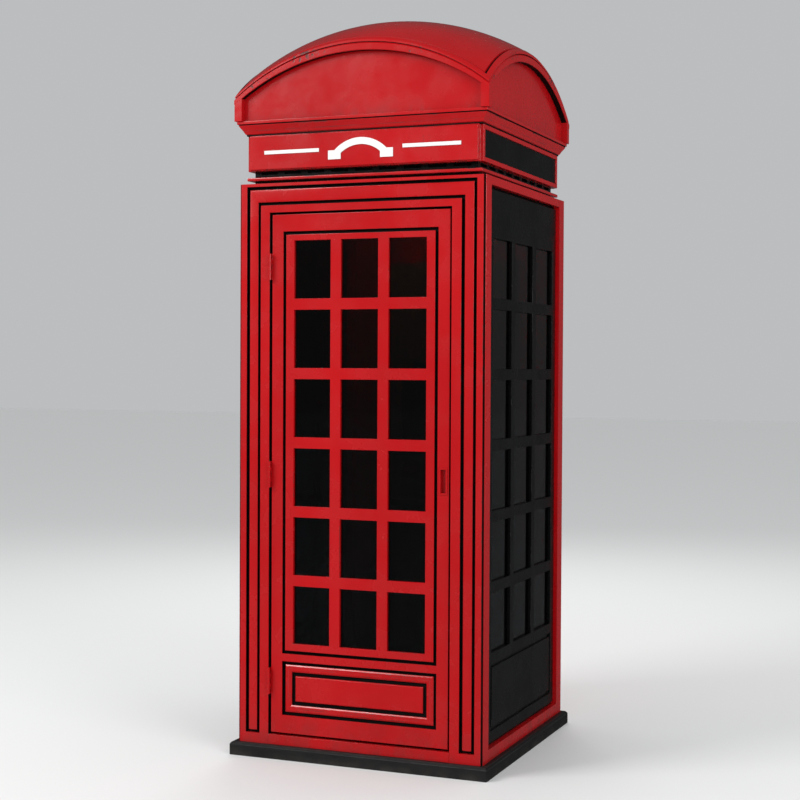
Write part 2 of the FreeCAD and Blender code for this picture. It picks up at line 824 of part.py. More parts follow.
def fascia():
    """The fascia box with notched corners, its sign panels, and the symbol on the front sign."""
    half = FASCIA_HALF
    inner = half - S.fascia_wall
    z = (NECK_TOP, FASCIA_TOP)
    notch = half - S.fascia_notch
    tools = [box("fascia_core", either_side(inner), either_side(inner), z)]
    for i, x in enumerate(((-half, -notch), (notch, half))):
        for j, y in enumerate(((-half, -notch), (notch, half))):
            tools.append(box(f"fascia_notch{i}{j}", x, y, z))
    window_half = notch - S.sign_border
    window_z = (NECK_TOP + S.sign_border, FASCIA_TOP - S.sign_border)
    bed = half - S.sign_recess
    sign_face = bed + S.sign_thickness
    tools.append(box("sign_bed_left", (-half, -bed), either_side(window_half), window_z))
    tools.append(box("sign_bed_right", (bed, half), either_side(window_half), window_z))
    tools.append(box("sign_bed_back", either_side(window_half), (bed, half), window_z))
    block = box("fascia_block", either_side(half), either_side(half), z)
    node("fascia_frame", cut("fascia_box", block, *tools))

    fit = window_half - S.soft_gap
    fit_z = (window_z[0] + S.soft_gap, window_z[1] - S.soft_gap)
    node(
        "side_sign_panels",
        box("sign_left", (-sign_face, -bed), either_side(fit), fit_z),
        box("sign_right", (bed, sign_face), either_side(fit), fit_z),
        box("sign_back", either_side(fit), (bed, sign_face), fit_z),
    )
    front = (-half - S.sign_thickness, -half)
    front_z = (NECK_TOP + S.front_sign_margin, FASCIA_TOP - S.front_sign_margin)
    node("front_sign_panel", box("sign_front", either_side(notch - S.front_sign_inset), front, front_z))
    node("front_sign_symbol", *sign_symbol(front[0]))


def sign_symbol(face):
    """A plain handset picture between two rules, standing out from the sign.

    The handset is an arched grip, cut from a ring, with a block at each end.
    """
    relief = (face - S.symbol_relief, face)
    middle = (NECK_TOP + FASCIA_TOP) / 2
    top = middle + S.symbol_rise
    start = (0, relief[0], top - S.symbol_grip_radius)
    disc = cylinder("grip_disc", S.symbol_grip_radius, start, S.symbol_relief, "Y")
    core = cylinder("grip_core", S.symbol_grip_radius - S.symbol_grip_width, start, S.symbol_relief, "Y")
    window = box("grip_window", either_side(S.symbol_reach), relief, (top - S.symbol_grip_fall, top))
    grip = common("grip", cut("grip_ring", disc, core), window)
    low = middle - S.symbol_drop
    end_x = S.symbol_reach - S.symbol_end_inset
    ends = []
    rules = []
    for side in (-1, 1):
        x = (side * end_x - S.symbol_end_width / 2, side * end_x + S.symbol_end_width / 2)
        ends.append(box(f"symbol_end{side}", x, relief, (low, low + S.symbol_end_height)))
        x = (S.rule_near, S.rule_far) if side > 0 else (-S.rule_far, -S.rule_near)
        rule_z = (middle - S.rule_width / 2, middle + S.rule_width / 2)
        rules.append(box(f"sign_rule{side}", x, relief, rule_z))
    return [fuse("symbol_handset", grip, *ends), *rules]


def cornice():
    """The flared cornice: a square frustum with a plain lip, hollow inside."""
    low = FASCIA_HALF
    high = low + S.cornice_flare
    lip_low = CORNICE_TOP - S.cornice_lip
    flare = Bench("cornice_flare")
    bottom = flare.sketch("XY", FASCIA_TOP)
    rectangle(bottom, either_side(low), either_side(low))
    top = flare.sketch("XY", lip_low)
    rectangle(top, either_side(high), either_side(high))
    loft = flare.body.newObject("PartDesign::AdditiveLoft", "cornice_loft")
    loft.Profile = bottom
    loft.Sections = [top]
    loft.Ruled = True
    lip = flare.sketch("XY", lip_low)
    rectangle(lip, either_side(high), either_side(high))
    DOC.recompute()
    flare.feature("Pad", lip, S.cornice_lip)
    hollow = flare.sketch("XY", CORNICE_TOP)
    inner = low - S.cornice_wall
    rectangle(hollow, either_side(inner), either_side(inner))
    flare.feature("Pocket", hollow, S.cornice_height)
    node("cornice", flare.body)


def roof():
    """A sail vault: a ball cut by four upright planes, so each face ends in the arc of a circle.

    The ball's radius follows from the corner height and the crown height of a face.
    """
    half = ROOF_HALF
    rise = S.roof_crown - S.roof_spring
    face_radius = (half * half + rise * rise) / (2 * rise)
    radius = root(face_radius * face_radius + half * half)
    centre = CORNICE_TOP + S.roof_crown - face_radius
    wall_half = half - S.hood_projection
    tall = (CORNICE_TOP, CORNICE_TOP + 2 * S.roof_crown)

    outer = common(
        "vault_outer",
        sphere("vault_ball", radius, centre),
        box("vault_prism", either_side(wall_half), either_side(wall_half), tall),
    )
    inner_half = wall_half - S.roof_skin
    inner = common(
        "vault_inner",
        sphere("vault_inner_ball", radius - S.roof_skin, centre),
        box("vault_inner_prism", either_side(inner_half), either_side(inner_half), tall),
    )
    node("roof_dome", cut("vault", outer, inner))

    eaves = common(
        "hood_outer",
        sphere("hood_ball", radius, centre),
        box("hood_prism", either_side(half), either_side(half), tall),
    )
    hood_rise = rise - S.hood_crown + S.hood_spring
    hood_radius = (half * half + hood_rise * hood_rise) / (2 * hood_rise)
    hood_centre = CORNICE_TOP + S.roof_crown - S.hood_crown - hood_radius
    gates = []
    for axis, start in (("X", (-half, 0, hood_centre)), ("Y", (0, -half, hood_centre))):
        drum = cylinder(f"hood_drum_{axis}", hood_radius, start, 2 * half, axis)
        if axis == "X":
            gate = box("hood_gate_X", either_side(half), either_side(wall_half), tall)
        else:
            gate = box("hood_gate_Y", either_side(wall_half), either_side(half), tall)
        gates.append(common(f"hood_opening_{axis}", drum, gate))
    core = box("hood_core", either_side(wall_half), either_side(wall_half), tall)
    node("pediment_hoods", cut("hoods", eaves, core, *gates))


# ---- door ----

def door_leaf():
    """Stiles and rails, with the window above and a raised panel in the kick opening below."""
    depth = (-DOOR_FRONT, -DOOR_BACK)
    inside = DOOR_WINDOW_HALF
    cup_z = PLINTH_TOP + S.cup_centre
    cup_x = (inside + DOOR_HALF) / 2
    pocket = box(
        "cup_pocket",
        (cup_x - S.cup_width / 2, cup_x + S.cup_width / 2),
        (-DOOR_FRONT, -DOOR_FRONT + S.cup_depth),
        (cup_z - S.cup_height / 2, cup_z + S.cup_height / 2),
    )
    node(
        "door_stiles",
        box("hinge_stile", (-DOOR_HALF, -inside), depth, (DOOR_LOW, DOOR_HIGH)),
        cut("lock_stile", box("lock_stile_block", (inside, DOOR_HALF), depth, (DOOR_LOW, DOOR_HIGH)), pocket),
    )
    node(
        "door_rails",
        box("top_rail", either_side(inside), depth, (WINDOW_HIGH, DOOR_HIGH)),
        box("lock_rail", either_side(inside), depth, (KICK_HIGH, WINDOW_LOW)),
        box("bottom_rail", either_side(inside), depth, (DOOR_LOW, KICK_LOW)),
    )
    back = DOOR_FRONT - S.flange_thickness - S.glass_thickness
    casting, panes, retainer, screws = window(
        "door_window", "front", back, inside, WINDOW_LOW, WINDOW_HIGH, DOOR_PANE_WIDTH, False
    )
    node("door_window_casting", casting)
    node("door_window_glass", *panes)
    node("door_window_retainer", retainer)
    node("door_retainer_screws", *screws)

    plate_face = DOOR_FRONT - S.kick_sink
    panel = Bench("kick")
    sheet = panel.sketch("XZ", plate_face)
    rectangle(sheet, either_side(inside), (KICK_LOW, KICK_HIGH))
    panel.feature("Pad", sheet, S.kick_plate, backwards=True)
    inset = S.kick_gap + S.kick_strip + S.kick_inner_gap
    field = panel.sketch("XZ", plate_face)
    rectangle(field, either_side(inside - inset), (KICK_LOW + inset, KICK_HIGH - inset))
    panel.feature("Pad", field, S.kick_field_rise)
    crest = -(plate_face + S.kick_field_rise).value
    panel.soften("Chamfer", S.kick_field_chamfer, lambda edge: edge.BoundBox.YMax < crest + 0.1)
    node("kick_panel", panel.body)

    strip = S.kick_gap + S.kick_strip
    face = (-plate_face - S.kick_strip_rise, -plate_face)
    x_out = inside - S.kick_gap
    x_in = inside - strip
    node(
        "kick_moulding",
        box("kick_low", either_side(x_out), face, (KICK_LOW + S.kick_gap, KICK_LOW + strip)),
        box("kick_high", either_side(x_out), face, (KICK_HIGH - strip, KICK_HIGH - S.kick_gap)),
        box("kick_left", (-x_out, -x_in), face, (KICK_LOW + strip, KICK_HIGH - strip)),
        box("kick_right", (x_in, x_out), face, (KICK_LOW + strip, KICK_HIGH - strip)),
    )
    pulls(cup_x, cup_z)


def pulls(x, z):
    """The flush cup outside and the bar handle inside, both on the lock stile."""
    face = -DOOR_FRONT
    high = S.cup_height / 2
    wide = S.cup_width / 2
    plate = box(
        "cup_plate",
        (x - wide - S.cup_flange, x + wide + S.cup_flange),
        (face - S.cup_wall, face),
        (z - high - S.cup_flange, z + high + S.cup_flange),
    )
    shell = box("cup_shell", (x - wide, x + wide), (face, face + S.cup_depth), (z - high, z + high))
    bowl = box(
        "cup_bowl",
        (x - wide + S.cup_wall, x + wide - S.cup_wall),
        (face - S.cup_wall, face + S.cup_depth - S.cup_wall),
        (z - high + S.cup_wall, z + high - S.cup_wall),
    )
    node("door_cup_pull", cut("cup", fuse("cup_blank", plate, shell), bowl))

    bar = S.inner_handle_bar / 2
    x = DOOR_WINDOW_HALF + S.inner_handle_inset + bar
    reach = S.inner_handle_reach
    back = -DOOR_BACK
    tall = S.inner_handle_height / 2
    across = (x - bar, x + bar)
    out = (back, back + reach)
    grip = box("handle_grip", across, (back + reach - 2 * bar, back + reach), (z - tall, z + tall))
    foot_low = box("handle_foot_low", across, out, (z - tall, z - tall + 2 * bar))
    foot_high = box("handle_foot_high", across, out, (z + tall - 2 * bar, z + tall))
    node("door_inner_handle", fuse("handle", grip, foot_low, foot_high))


HINGE_X = -(DOORWAY_HALF - S.door_gap / 2)
HINGE_Y = -(HALF + S.hinge_barrel_radius)
KNUCKLES = 5
HINGE_LEVELS = (0.1, 0.5, 0.9)                      # shares of the door's height


def hinges():
    """Three butt hinges in the gap at the left jamb, with five knuckles each on a fixed pin."""
    frame_leaves = []
    door_leaves = []
    pins = []
    leaf_back = -HALF + S.hinge_leaf_depth
    frame_plate_x = (-DOORWAY_HALF, -DOORWAY_HALF + S.hinge_leaf)
    door_plate_x = (-DOOR_HALF - S.hinge_leaf, -DOOR_HALF)
    knuckle = S.hinge_height / KNUCKLES
    for i, share in enumerate(HINGE_LEVELS):
        low = DOOR_LOW + share * (DOOR_HIGH - DOOR_LOW) - S.hinge_height / 2
        for side, plate_x, turns, fit, leaves, front in (
            ("frame", frame_plate_x, (0, 2, 4), S.hinge_pin_fit, frame_leaves, -HALF),
            ("door", door_plate_x, (1, 3), S.hinge_running_fit, door_leaves, -DOOR_FRONT),
        ):
            plate = box(f"{side}_plate{i}", plate_x, (front, leaf_back), (low, low + S.hinge_height))
            solids = [plate]
            for k in turns:
                z = (low + k * knuckle + S.knuckle_gap / 2, low + (k + 1) * knuckle - S.knuckle_gap / 2)
                tab = box(f"{side}_tab{i}{k}", plate_x, (HINGE_Y, front + S.hinge_tab_root), z)
                barrel = cylinder(
                    f"{side}_barrel{i}{k}", S.hinge_barrel_radius, (HINGE_X, HINGE_Y, z[0]), z[1] - z[0]
                )
                solids += [tab, barrel]
            blank = fuse(f"{side}_blank{i}", *solids)
            bore = cylinder(
                f"{side}_bore{i}",
                S.hinge_pin_radius + fit,
                (HINGE_X, HINGE_Y, low),
                S.hinge_height,
            )
            leaves.append(cut(f"{side}_leaf{i}", blank, bore))
        pins.append(cylinder(f"pin{i}", S.hinge_pin_radius, (HINGE_X, HINGE_Y, low), S.hinge_height))
    node("hinge_frame_leaves", *frame_leaves)
    node("hinge_door_leaves", *door_leaves)
    node("hinge_pins", *pins)


# ---- inside ----

def interior():
    """Ceiling with its lamp, the backboard with its shelf, and the conduit down to the telephone."""
    inner = NECK_HALF - S.neck_wall
    node("ceiling_panel", box("ceiling", either_side(inner), either_side(inner), (CEILING_LOW, NECK_TOP)))
    lamp_low = CEILING_LOW - S.lamp_base_height
    node("lamp_base", cylinder("lamp_plate", S.lamp_radius, (0, 0, lamp_low), S.lamp_base_height))
    half = S.lamp_radius
    below = box("lamp_region", either_side(half), either_side(half), (lamp_low - half, lamp_low))
    hollow = sphere("globe_in", half - S.lamp_wall, lamp_low)
    globe = cut("globe", sphere("globe_out", half, lamp_low), hollow)
    node("lamp_globe", common("globe_half", globe, below))

    board_back = BOARD_FACE + S.backboard_thickness
    board_z = (S.backboard_low, BODY_TOP - S.back_border - S.backboard_drop)
    node("backboard", box("board", either_side(S.backboard_half), (BOARD_FACE, board_back), board_z))

    shelf_top = S.shelf_low + S.shelf_thickness
    shelf_y = (BOARD_FACE - S.shelf_depth, BOARD_FACE)
    node("parcel_shelf", box("shelf", either_side(S.shelf_half), shelf_y, (S.shelf_low, shelf_top)))
    brackets = []
    foot = S.backboard_low + S.bracket_rise
    arm = S.shelf_low
    tip = BOARD_FACE - S.bracket_reach
    bracket_x = S.shelf_half - S.bracket_inset
    for side in (-1, 1):
        bench = Bench("bracket_left" if side < 0 else "bracket_right")
        drawing = bench.sketch("YZ", side * bracket_x - S.bracket_thickness / 2)
        polygon(drawing, [
            (BOARD_FACE, foot), (BOARD_FACE, arm), (tip, arm),
            (tip, arm - S.bracket_tip), (BOARD_FACE - S.bracket_toe, foot),
        ])
        bench.feature("Pad", drawing, S.bracket_thickness)
        brackets.append(bench.body)
    node("shelf_brackets", *brackets)

    conduit_y = INNER - S.conduit_radius - S.conduit_gap
    start = (S.phone_half - S.conduit_inset, conduit_y, PHONE_TOP)
    node("conduit", cylinder("pipe", S.conduit_radius, start, CEILING_LOW - PHONE_TOP))


def telephone():
    """The coin telephone: case, coin slots, refund cup, dial, buttons, cradle and handset."""
    button_z = S.phone_low + S.button_up
    slot_x = (S.slot_plate_left, S.slot_plate_left + S.slot_plate_width)
    slot_low = S.phone_low + S.slot_plate_low
    slot_z = (slot_low, slot_low + S.slot_plate_height)
    cradle_y = PHONE_FACE + S.cradle_setback
    front = -PHONE_FACE                             # as a sketch offset, towards the caller

    case = Bench("case")
    outline = case.sketch("XZ", -BOARD_FACE)
    rectangle(outline, either_side(S.phone_half), (S.phone_low, PHONE_TOP))
    case.feature("Pad", outline, S.phone_depth)
    case.soften("Fillet", S.phone_fillet, lambda edge: edge.BoundBox.YMax < PHONE_FACE.value + 0.1)
    wells = case.sketch("XZ", front)
    for x in (-S.button_across, S.button_across):
        circle(wells, x, button_z, S.button_radius + S.button_fit)
    case.feature("Pocket", wells, S.button_length - S.button_proud + S.button_travel + S.button_spare)
    chute = case.sketch("XZ", front)
    margin = S.chute_margin
    rectangle(chute, (slot_x[0] + margin, slot_x[1] - margin), (slot_z[0] + margin, slot_z[1] - margin))
    case.feature("Pocket", chute, S.chute_depth)
    guide = case.sketch("XY", PHONE_TOP)
    circle(guide, 0, cradle_y, S.plunger_radius + S.soft_gap)
    case.feature("Pocket", guide, S.plunger_well)
    node("phone_case", case.body)

    coin_gear(slot_x, slot_z, front)
    dial()

    collars = []
    for name, x in (("left", -S.button_across), ("right", S.button_across)):
        start = (x, PHONE_FACE - S.collar_height, button_z)
        ring = cylinder(f"{name}_ring", S.collar_radius, start, S.collar_height, "Y")
        hole = cylinder(f"{name}_hole", S.button_radius + S.button_fit, start, S.collar_height, "Y")
        collars.append(cut(f"{name}_collar", ring, hole))
        tip = (x, PHONE_FACE - S.button_proud, button_z)
        node(f"{name}_push_button", cylinder(f"{name}_button", S.button_radius, tip, S.button_length, "Y"))
    node("button_collars", *collars)

    handset_and_cradle(cradle_y, PHONE_TOP + S.cradle_height)


COIN_SLOTS = 3


def coin_gear(slot_x, slot_z, front):
    """The slotted coin plate, the open refund cup and the coin box lock, on the case's face."""
    plate = Bench("slot_plate")
    blank = plate.sketch("XZ", front)
    rectangle(blank, slot_x, slot_z)
    plate.feature("Pad", blank, S.slot_plate_thickness)
    slot = plate.sketch("XZ", front + S.slot_plate_thickness)
    left = slot_x[0] + S.coin_slot_inset
    middle = (slot_z[0] + slot_z[1]) / 2
    tall = S.coin_slot_height / 2
    rectangle(slot, (left, left + S.coin_slot_width), (middle - tall, middle + tall))
    first = plate.feature("Pocket", slot, S.slot_plate_thickness)
    plate.rows_and_columns([first], slot, COIN_SLOTS, S.coin_slot_pitch, 1, as_size(0))
    node("coin_slot_plate", plate.body)

    wall = S.refund_wall
    x = (-S.refund_left, S.refund_width - S.refund_left)
    y = (PHONE_FACE - S.refund_depth, PHONE_FACE)
    z = (S.phone_low + S.refund_low, S.phone_low + S.refund_low + S.refund_height)
    bowl = box("refund_bowl", (x[0] + wall, x[1] - wall), (y[0] + wall, y[1] - wall), (z[0] + wall, z[1]))
    node("coin_return_cup", cut("refund", box("refund_block", x, y, z), bowl))

    start = (S.lock_across, PHONE_FACE - S.lock_proud, S.phone_low + S.lock_up)
    node("coin_box_lock", cylinder("lock", S.lock_radius, start, S.lock_proud, "Y"))


def dial():
    """The number plate, the finger wheel that turns in front of it, and the finger stop."""
    x = S.dial_across
    z = S.phone_low + S.dial_up
    plate_front = PHONE_FACE - S.dial_plate
    start = (x, plate_front, z)
    node("dial_number_plate", cylinder("number_plate", S.dial_radius, start, S.dial_plate, "Y"))
    finger_wheel(x, z, plate_front)

    stop_end = x + S.finger_stop_reach
    stop_high = z - S.finger_stop_drop
    stop_z = (stop_high - S.finger_stop_width, stop_high)
    arm_back = plate_front - S.wheel_gap - S.wheel_thickness - S.finger_stop_clear
    arm_y = (arm_back - S.finger_stop_thickness, arm_back)
    arm = box("stop_arm", (stop_end - S.finger_stop_length, stop_end), arm_y, stop_z)
    foot = box("stop_foot", (stop_end - S.finger_stop_foot, stop_end), (arm_y[0], plate_front), stop_z)
    node("dial_finger_stop", fuse("finger_stop", arm, foot))


FINGER_HOLES = 10
FINGER_HOLE_STEP = 30                               # degrees


def finger_wheel(x, z, plate_front):
    """The dial's finger wheel: a disc with a hub, and ten finger holes.

    The holes are 30 degrees apart, anticlockwise from the first digit at 2 o'clock to the last at 5.
    """
    back = plate_front - S.wheel_gap
    wheel = Bench("wheel")
    disc = wheel.sketch("XZ", -back)
    circle(disc, x, z, S.wheel_radius)
    wheel.feature("Pad", disc, S.wheel_thickness)
    face = -back + S.wheel_thickness
    hub = wheel.sketch("XZ", face)
    circle(hub, x, z, S.wheel_hub_radius)
    wheel.feature("Pad", hub, S.wheel_hub)
    holes = wheel.sketch("XZ", face)
    for digit in range(FINGER_HOLES):
        angle = math.radians(FINGER_HOLE_STEP * (digit + 1))
        across = x + S.finger_ring_radius * math.cos(angle)
        up = z + S.finger_ring_radius * math.sin(angle)
        circle(holes, across, up, S.finger_hole_radius)
    wheel.feature("Pocket", holes, S.wheel_thickness)
    node("dial_finger_wheel", wheel.body)


def handset_and_cradle(y, saddle):
    """The handset lying across two horns on top of the case, over the switch plunger."""
    base_top = PHONE_TOP + S.cradle_plate
    plate_y = (y - S.cradle_depth / 2, y + S.cradle_depth / 2)
    solids = [box("cradle_plate", either_side(S.cradle_half), plate_y, (PHONE_TOP, base_top))]
    near = S.handset_radius + S.cheek_gap
    far = near + S.cheek_thickness
    cheek_z = (saddle, saddle + S.cheek_height)
    for side in (-1, 1):
        x = (side * S.horn_spacing - S.horn_width / 2, side * S.horn_spacing + S.horn_width / 2)
        solids.append(box(f"horn{side}", x, (y - far, y + far), (base_top, saddle)))
        solids.append(box(f"cheek_front{side}", x, (y - far, y - near), cheek_z))
        solids.append(box(f"cheek_back{side}", x, (y + near, y + far), cheek_z))
    hole = cylinder("plunger_hole", S.plunger_radius + S.soft_gap, (0, y, PHONE_TOP), S.cradle_plate)
    node("handset_cradle", cut("cradle", fuse("cradle_blank", *solids), hole))
    start = (0, y, PHONE_TOP - S.plunger_depth)
    node("cradle_plunger", cylinder("plunger", S.plunger_radius, start, S.cradle_height + S.plunger_depth))

    grip = S.handset_radius
    axis_z = saddle + S.soft_gap + grip
    bar = cylinder("grip_bar", grip, (-S.handset_half, y, axis_z), 2 * S.handset_half, "X")
    low = axis_z + S.earpiece_rise - S.earpiece_height
    ends = [
        cylinder(f"earpiece{side}", S.earpiece_radius, (side * S.handset_half, y, low), S.earpiece_height)
        for side in (-1, 1)
    ]
    node("handset", fuse("handset_blank", bar, *ends))


# ---- build, check and write ----

def check(part):
    """Stops the run if a sub-part's shape is empty, broken or holds no solid."""
    shape = part.Shape
    if shape.isNull() or not shape.isValid() or not shape.Solids:
        raise RuntimeError(f"{part.Label}: the shape is empty or not valid")


def main():
    """Builds every sub-part, checks the document and writes one STEP file for each."""
    base()
    front_frame()
    sides()
    back_wall()
    vent_neck()
    fascia()
    cornice()
    roof()
    door_leaf()
    hinges()
    interior()
    telephone()
    DOC.recompute()
    failed = [thing.Name for thing in DOC.Objects if {"Invalid", "Error"} & set(thing.State)]
    if failed:
        raise RuntimeError(f"these objects failed: {failed}")
    os.makedirs("parts", exist_ok=True)
    for part in NODES:
        check(part)
        part.Shape.exportStep(f"parts/{part.Label}.step")
    print(f"{len(NODES)} sub-parts, {sum(len(part.Shape.Solids) for part in NODES)} solids")


main()
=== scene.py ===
"""The looks of a street telephone booth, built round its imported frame.

The booth is a red cast-iron kiosk with grids of glass, a sail-vaulted roof and a coin telephone inside.
Every length is in metres. -Y is the front, +X is on the right of someone facing the door, and +Z is up.
"""

import json
import logging
import math
from dataclasses import dataclass
from enum import Enum
from typing import Sequence

import bmesh
import bpy
import numpy as np
from mathutils import Matrix, Vector


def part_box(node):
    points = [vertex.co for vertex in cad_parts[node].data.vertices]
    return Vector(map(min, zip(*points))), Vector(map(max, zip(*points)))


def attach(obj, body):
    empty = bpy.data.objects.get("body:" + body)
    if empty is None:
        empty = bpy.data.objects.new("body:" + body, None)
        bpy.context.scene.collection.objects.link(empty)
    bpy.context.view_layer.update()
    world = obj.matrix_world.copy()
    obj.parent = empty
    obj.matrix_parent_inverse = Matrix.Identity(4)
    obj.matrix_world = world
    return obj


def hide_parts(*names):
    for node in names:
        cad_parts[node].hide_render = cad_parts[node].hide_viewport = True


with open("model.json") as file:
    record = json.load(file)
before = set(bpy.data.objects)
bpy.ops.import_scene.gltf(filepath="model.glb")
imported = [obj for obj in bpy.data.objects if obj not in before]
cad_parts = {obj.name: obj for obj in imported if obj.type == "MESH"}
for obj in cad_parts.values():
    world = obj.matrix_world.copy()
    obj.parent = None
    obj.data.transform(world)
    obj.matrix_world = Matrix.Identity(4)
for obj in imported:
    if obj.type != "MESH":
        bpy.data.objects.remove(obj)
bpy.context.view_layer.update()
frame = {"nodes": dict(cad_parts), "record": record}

LOG = logging.getLogger("booth")
Colour = tuple[float, float, float]
MERGE = 1e-5                       # points nearer than this are one point
SHARP = math.radians(32)           # edges that turn by more stay crisp


class Wall(Enum):
    """A face of the booth. Points on it are given across, up, and out from the booth's middle."""

    FRONT = ((1, 0), (0, -1))
    RIGHT = ((0, 1), (1, 0))
    BACK = ((-1, 0), (0, 1))
    LEFT = ((0, -1), (-1, 0))

    def place(self, across: np.ndarray, up: np.ndarray, out: np.ndarray) -> np.ndarray:
        """Turns wall coordinates into the booth's own.

        Args:
            across: distance to the right of the wall's middle, for someone facing it.
            up: height above the ground.
            out: distance out from the booth's middle.

        Returns:
            The points, with one more axis than the widest argument.
        """
        (across_x, across_y), (out_x, out_y) = self.value
        across, up, out = np.broadcast_arrays(across, up, out)
        return np.stack([across * across_x + out * out_x, across * across_y + out * out_y, up], axis=-1)


@dataclass(frozen=True)
class Corner:
    """One corner of a moulding's section.

    out is the distance away from the line that carries the section, deep is the distance behind the
    face, and rise, where given, takes out's place where that line runs level. soft is how far from the
    corner its arc starts, positive on an outward edge and negative in an inward angle. paint is the
    material of the stretch that follows.
    """

    out: float
    deep: float
    soft: float = 0.0
    paint: int = 0
    rise: float | None = None


@dataclass(frozen=True)
class Section:
    """A moulding's section as arrays: where it runs, its wear, its dirt and painted shade, and its paints."""

    out: np.ndarray
    rise: np.ndarray
    deep: np.ndarray
    wear: np.ndarray
    grime_and_shade: np.ndarray
    paint: np.ndarray


def section(corners: Sequence[Corner], closed: bool = False, steps: int = 3) -> Section:
    """Rounds the corners of a section.

    Each corner C becomes the curve (1-t)^2 A + 2t(1-t) C + t^2 B, where A and B lie the corner's soft
    distance towards its neighbours. Wear, and the dirt and painted shade of inward angles, follow 4t(1-t),
    so they are strongest in mid-curve.

    Args:
        corners: the corners in order.
        closed: whether the last corner joins the first.
        steps: how many facets round each corner.

    Returns:
        The section, with the paint of each stretch between two of its points.
    """
    spots = np.array([[c.out, c.out if c.rise is None else c.rise, c.deep] for c in corners])
    soft = np.array([c.soft for c in corners])
    if not closed:
        soft[[0, -1]] = 0.0
    before = np.roll(spots, 1, axis=0) - spots
    after = np.roll(spots, -1, axis=0) - spots
    t = np.linspace(0.0, 1.0, steps + 1)[None, :, None]
    reach = np.abs(soft)[:, None]
    start = spots + before / np.maximum(np.linalg.norm(before, axis=1, keepdims=True), 1e-9) * reach
    end = spots + after / np.maximum(np.linalg.norm(after, axis=1, keepdims=True), 1e-9) * reach
    curve = (1 - t) ** 2 * start[:, None] + 2 * t * (1 - t) * spots[:, None] + t**2 * end[:, None]
    bulge = (4 * t * (1 - t))[..., 0] * np.ones((len(corners), 1))
    paint = np.array([c.paint for c in corners])
    bends = np.repeat(np.minimum(paint, np.roll(paint, 1))[:, None], steps, axis=1)
    paints = np.concatenate([bends, paint[:, None]], axis=1).reshape(-1)
    flat = curve.reshape(-1, 3)
    return Section(
        out=flat[:, 0],
        rise=flat[:, 1],
        deep=flat[:, 2],
        wear=(bulge * (soft > 0)[:, None]).reshape(-1),
        # inward angles take dirt and painted shade
        grime_and_shade=(bulge * (soft < 0)[:, None]).reshape(-1),
        paint=paints if closed else paints[:-1],
    )


@dataclass(frozen=True)
class Outline:
    """A line that carries a section: its points, and which way each one moves as the section goes out."""

    points: np.ndarray
    push: np.ndarray
    closed: bool = True

    @staticmethod
    def lattice(columns: Sequence[float], rows: Sequence[float]) -> "Outline":
        """The rim of a rectangle, with a point wherever a column or row line meets it.

        Args:
            columns: the column lines, from left to right.
            rows: the row lines, from low to high.

        Returns:
            The outline, pushed away from the rectangle.
        """
        a, u = np.asarray(columns, float), np.asarray(rows, float)
        left, right, low, high = a[0], a[-1], u[0], u[-1]
        points = np.concatenate([
            np.stack([a[:-1], np.full(len(a) - 1, low)], axis=1),
            np.stack([np.full(len(u) - 1, right), u[:-1]], axis=1),
            np.stack([a[:0:-1], np.full(len(a) - 1, high)], axis=1),
            np.stack([np.full(len(u) - 1, left), u[:0:-1]], axis=1),
        ])
        push = np.stack([
            (points[:, 0] == right) * 1.0 - (points[:, 0] == left),
            (points[:, 1] == high) * 1.0 - (points[:, 1] == low),
        ], axis=1)
        return Outline(points, push)

    @staticmethod
    def doorway(half: float, low: float, high: float) -> "Outline":
        """Up one side of a doorway, along its head and down the other side.

        Args:
            half: half the doorway's width.
            low: the height of its foot.
            high: the height of its head.

        Returns:
            The outline, pushed away from the doorway.
        """
        points = np.array([[-half, low], [-half, high], [half, high], [half, low]])
        push = np.array([[-1.0, 0.0], [-1.0, 1.0], [1.0, 1.0], [1.0, 0.0]])
        return Outline(points, push, closed=False)


